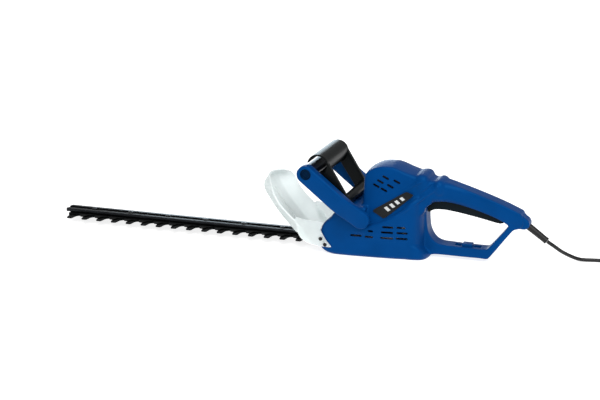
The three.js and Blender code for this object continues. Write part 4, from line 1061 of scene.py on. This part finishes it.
def make_materials():
    return {
        "blue_plastic": moulded("blue_plastic", BLUE, 0.42, **BLUE_SHEEN),
        "navy_plastic": moulded("navy_plastic", NAVY, 0.34, **BLUE_SHEEN),
        "black_grip": moulded("black_grip", GRIP_BLACK, 0.3, 700, **DULL),
        "black_plastic": moulded("black_plastic", BLACK, 0.42, 500, 0.0002, **DULL),
        "white_guard": moulded("white_guard", WHITE, 0.36, 1200, 0.00004, **SATIN, **GLOW_AND_TRANSLUCENCY),
        "label_black": moulded("label_black", (0.006, 0.007, 0.008), 0.32, 1500, 0.00003, **SATIN),
        "blade_steel": metal("blade_steel", (0.012, 0.013, 0.014), 0.42, (0.15, 4, 1)),
        "bar_steel": metal("bar_steel", (0.020, 0.022, 0.025), 0.38, (0.1, 3, 1)),
        "bolt_steel": metal("bolt_steel", (0.05, 0.05, 0.052), 0.4),
        "screw_steel": metal("screw_steel", (0.03, 0.03, 0.032), 0.38),
        "cast_metal": metal("cast_metal", (0.42, 0.43, 0.44), 0.55, (1, 1, 1), 320, 0.0003),
        "gear_steel": metal("gear_steel", (0.45, 0.45, 0.46), 0.35, (1, 1, 5)),
        "bright_steel": metal("bright_steel", (0.6, 0.6, 0.61), 0.25, (3, 3, 0.3)),
        "lamination_steel": metal("lamination_steel", (0.3, 0.3, 0.32), 0.45, (0.2, 0.2, 9), 260, 0.0003),
        "copper_winding": metal("copper_winding", (0.55, 0.2, 0.07), 0.35, (0.3, 0.3, 6), 300, 0.0004),
        "brass": metal("brass", (0.7, 0.5, 0.2), 0.3),
        "inner_black": moulded("inner_black", (0.02, 0.02, 0.02), 0.5),
        "capacitor_case": moulded("capacitor_case", (0.72, 0.62, 0.4), 0.45),
        "label_print": moulded("label_print", (0.5, 0.52, 0.52), 0.4, 1500, 0.00002),
        "cord_rubber": moulded("cord_rubber", (0.006, 0.006, 0.0065), 0.42, 1500, 0.00006,
                               Specular_IOR_Level=0.3),
        "pin_steel": metal("pin_steel", (0.65, 0.64, 0.6), 0.2, (0.3, 2, 2)),
    }


# -------------------------------- stage
FLOOR_HALF = 9000
FLOOR_GLOW = {"Specular_IOR_Level": 0.0, "Emission_Color": (1.0, 1.0, 1.0), "Emission_Strength": 0.8}
AIM = Vector((0, 0, 0.08))
SUN_PLACE = (0.5, -1.1, 1.6)
PANELS = (  # name, place, size, power, colour
    ("key", (0.9, -1.2, 1.6), 0.5, 5, (1, 1, 1)),
    ("rim", (-1.05, 2.8, 0.62), 1.0, 13, (0.75, 0.9, 1.0)),
)


def add_stage():
    floor_mesh = plate([(-FLOOR_HALF, -FLOOR_HALF), (FLOOR_HALF, -FLOOR_HALF), (FLOOR_HALF, FLOOR_HALF),
                        (-FLOOR_HALF, FLOOR_HALF)], -4, -0.1, "floor")
    floor_mesh.data.materials.append(shader("floor", (0.55, 0.55, 0.55), 0.9, **FLOOR_GLOW))
    world = bpy.data.worlds.new("studio")
    world.use_nodes = True
    world.node_tree.nodes["Background"].inputs["Color"].default_value = (1, 1, 1, 1)
    world.node_tree.nodes["Background"].inputs["Strength"].default_value = 0.4
    bpy.context.scene.world = world
    bpy.context.scene.view_settings.view_transform = "Standard"
    sun = bpy.data.lights.new("sky_panel", "SUN")
    sun.energy = 2.6
    sun.angle = math.radians(60)
    add_light(sun, SUN_PLACE)
    for name, place, size, power, color in PANELS:
        panel = bpy.data.lights.new(name, "AREA")
        panel.shape = "SQUARE"
        panel.size = size
        panel.energy = power
        panel.color = color
        add_light(panel, place)


def add_light(data, place):
    light = bpy.data.objects.new(data.name, data)
    light.location = place
    light.rotation_euler = (AIM - Vector(place)).to_track_quat("-Z", "Y").to_euler()
    bpy.context.scene.collection.objects.link(light)


# -------------------------------- putting it together
def main():
    add_camera()
    add_stage()
    materials = make_materials()
    for entry in frame["record"]["subparts"]:
        node = frame["nodes"][entry["node"]]
        node.data.materials.clear()
        node.data.materials.append(materials[entry["material_slot"]])

    def place(piece, slot_name, body, *replaced, finish=None):
        piece.data.materials.clear()
        piece.data.materials.append(materials[finish or slot_name])
        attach(piece, body)
        if replaced:
            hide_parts(*replaced)
        return piece

    flex, length = cord()
    place(flex, "cord_rubber", "tool", "cord")
    plug_body, plug_pins = plug()
    place(plug_body, "cord_rubber", "tool", "plug")
    place(plug_pins, "cord_rubber", "tool", finish="pin_steel")
    place(strain_relief(), "cord_rubber", "tool", "strain_relief")

    left, right = housing()
    place(left, "blue_plastic", "tool", "housing_left")
    place(right, "blue_plastic", "tool", "housing_right")
    place(vent_shade_screen("dust_screen_left"), "inner_black", "tool")
    place(flipped(vent_shade_screen("dust_screen_right")), "inner_black", "tool")
    arm_right = arm()
    arm_left = mirrored(arm_right, "arm_left")
    place(arm_right, "blue_plastic", "tool", "front_arm_right")
    place(arm_left, "blue_plastic", "tool", "front_arm_left")
    place(handle_tube(), "navy_plastic", "tool", "front_handle_tube")
    for side in (-1, 1):
        place(end_cap(side), "navy_plastic", "tool")
    for side_name, side in (("left", -1), ("right", 1)):
        plate_piece, marks = label_plate(f"badge_{side_name}"), label_marks(f"badge_marks_{side_name}")
        if side > 0:
            flipped(plate_piece)
            flipped(marks)
        place(plate_piece, "label_black", "tool", f"label_plate_{side_name}")
        place(marks, "label_black", "tool", finish="label_print")
    place(switch_bar(), "black_grip", "front_switch_bar", "front_switch_bar")
    place(guard(), "white_guard", "tool", "guard")
    place(trigger(), "black_plastic", "rear_trigger", "rear_trigger")
    spring = place(coil_spring(), "bright_steel", "tool", "trigger_spring")
    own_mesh(spring)

    place(blade(UPPER_BLADE_Z, 0, 31, -7, "blade_upper"), "blade_steel", "upper_blade", "upper_blade")
    place(blade(LOWER_BLADE_Z, -1, 40, 0, "blade_lower"), "blade_steel", "lower_blade", "lower_blade")
    place(support_bar(), "bar_steel", "tool", "support_bar")
    for i, x in enumerate(BOLT_X):
        place(bolt(x, f"bolt_{i + 1}"), "bolt_steel", "tool", f"bar_bolt_{i + 1}")
    place(bolt(ROOT_BOLT_X, "bolt_root"), "bolt_steel", "tool", "bar_root_bolt")

    for i, (x, z, y) in enumerate(SCREWS):
        piece = screw(x, z, y + 0.3, -6, f"shell_screw_{i + 1}")
        place(piece, "screw_steel", "tool", f"housing_screw_{i + 1}")
    for name, side in (("left", -1), ("right", 1)):
        for i, (x, z) in enumerate(GUARD_SCREWS):
            piece = screw(x, z, 58, 46, f"shield_screw_{name}_{i + 1}", side, 3.4, 1.6, 1.8)
            place(piece, "screw_steel", "tool", f"guard_screw_{name}_{i + 1}")


main()
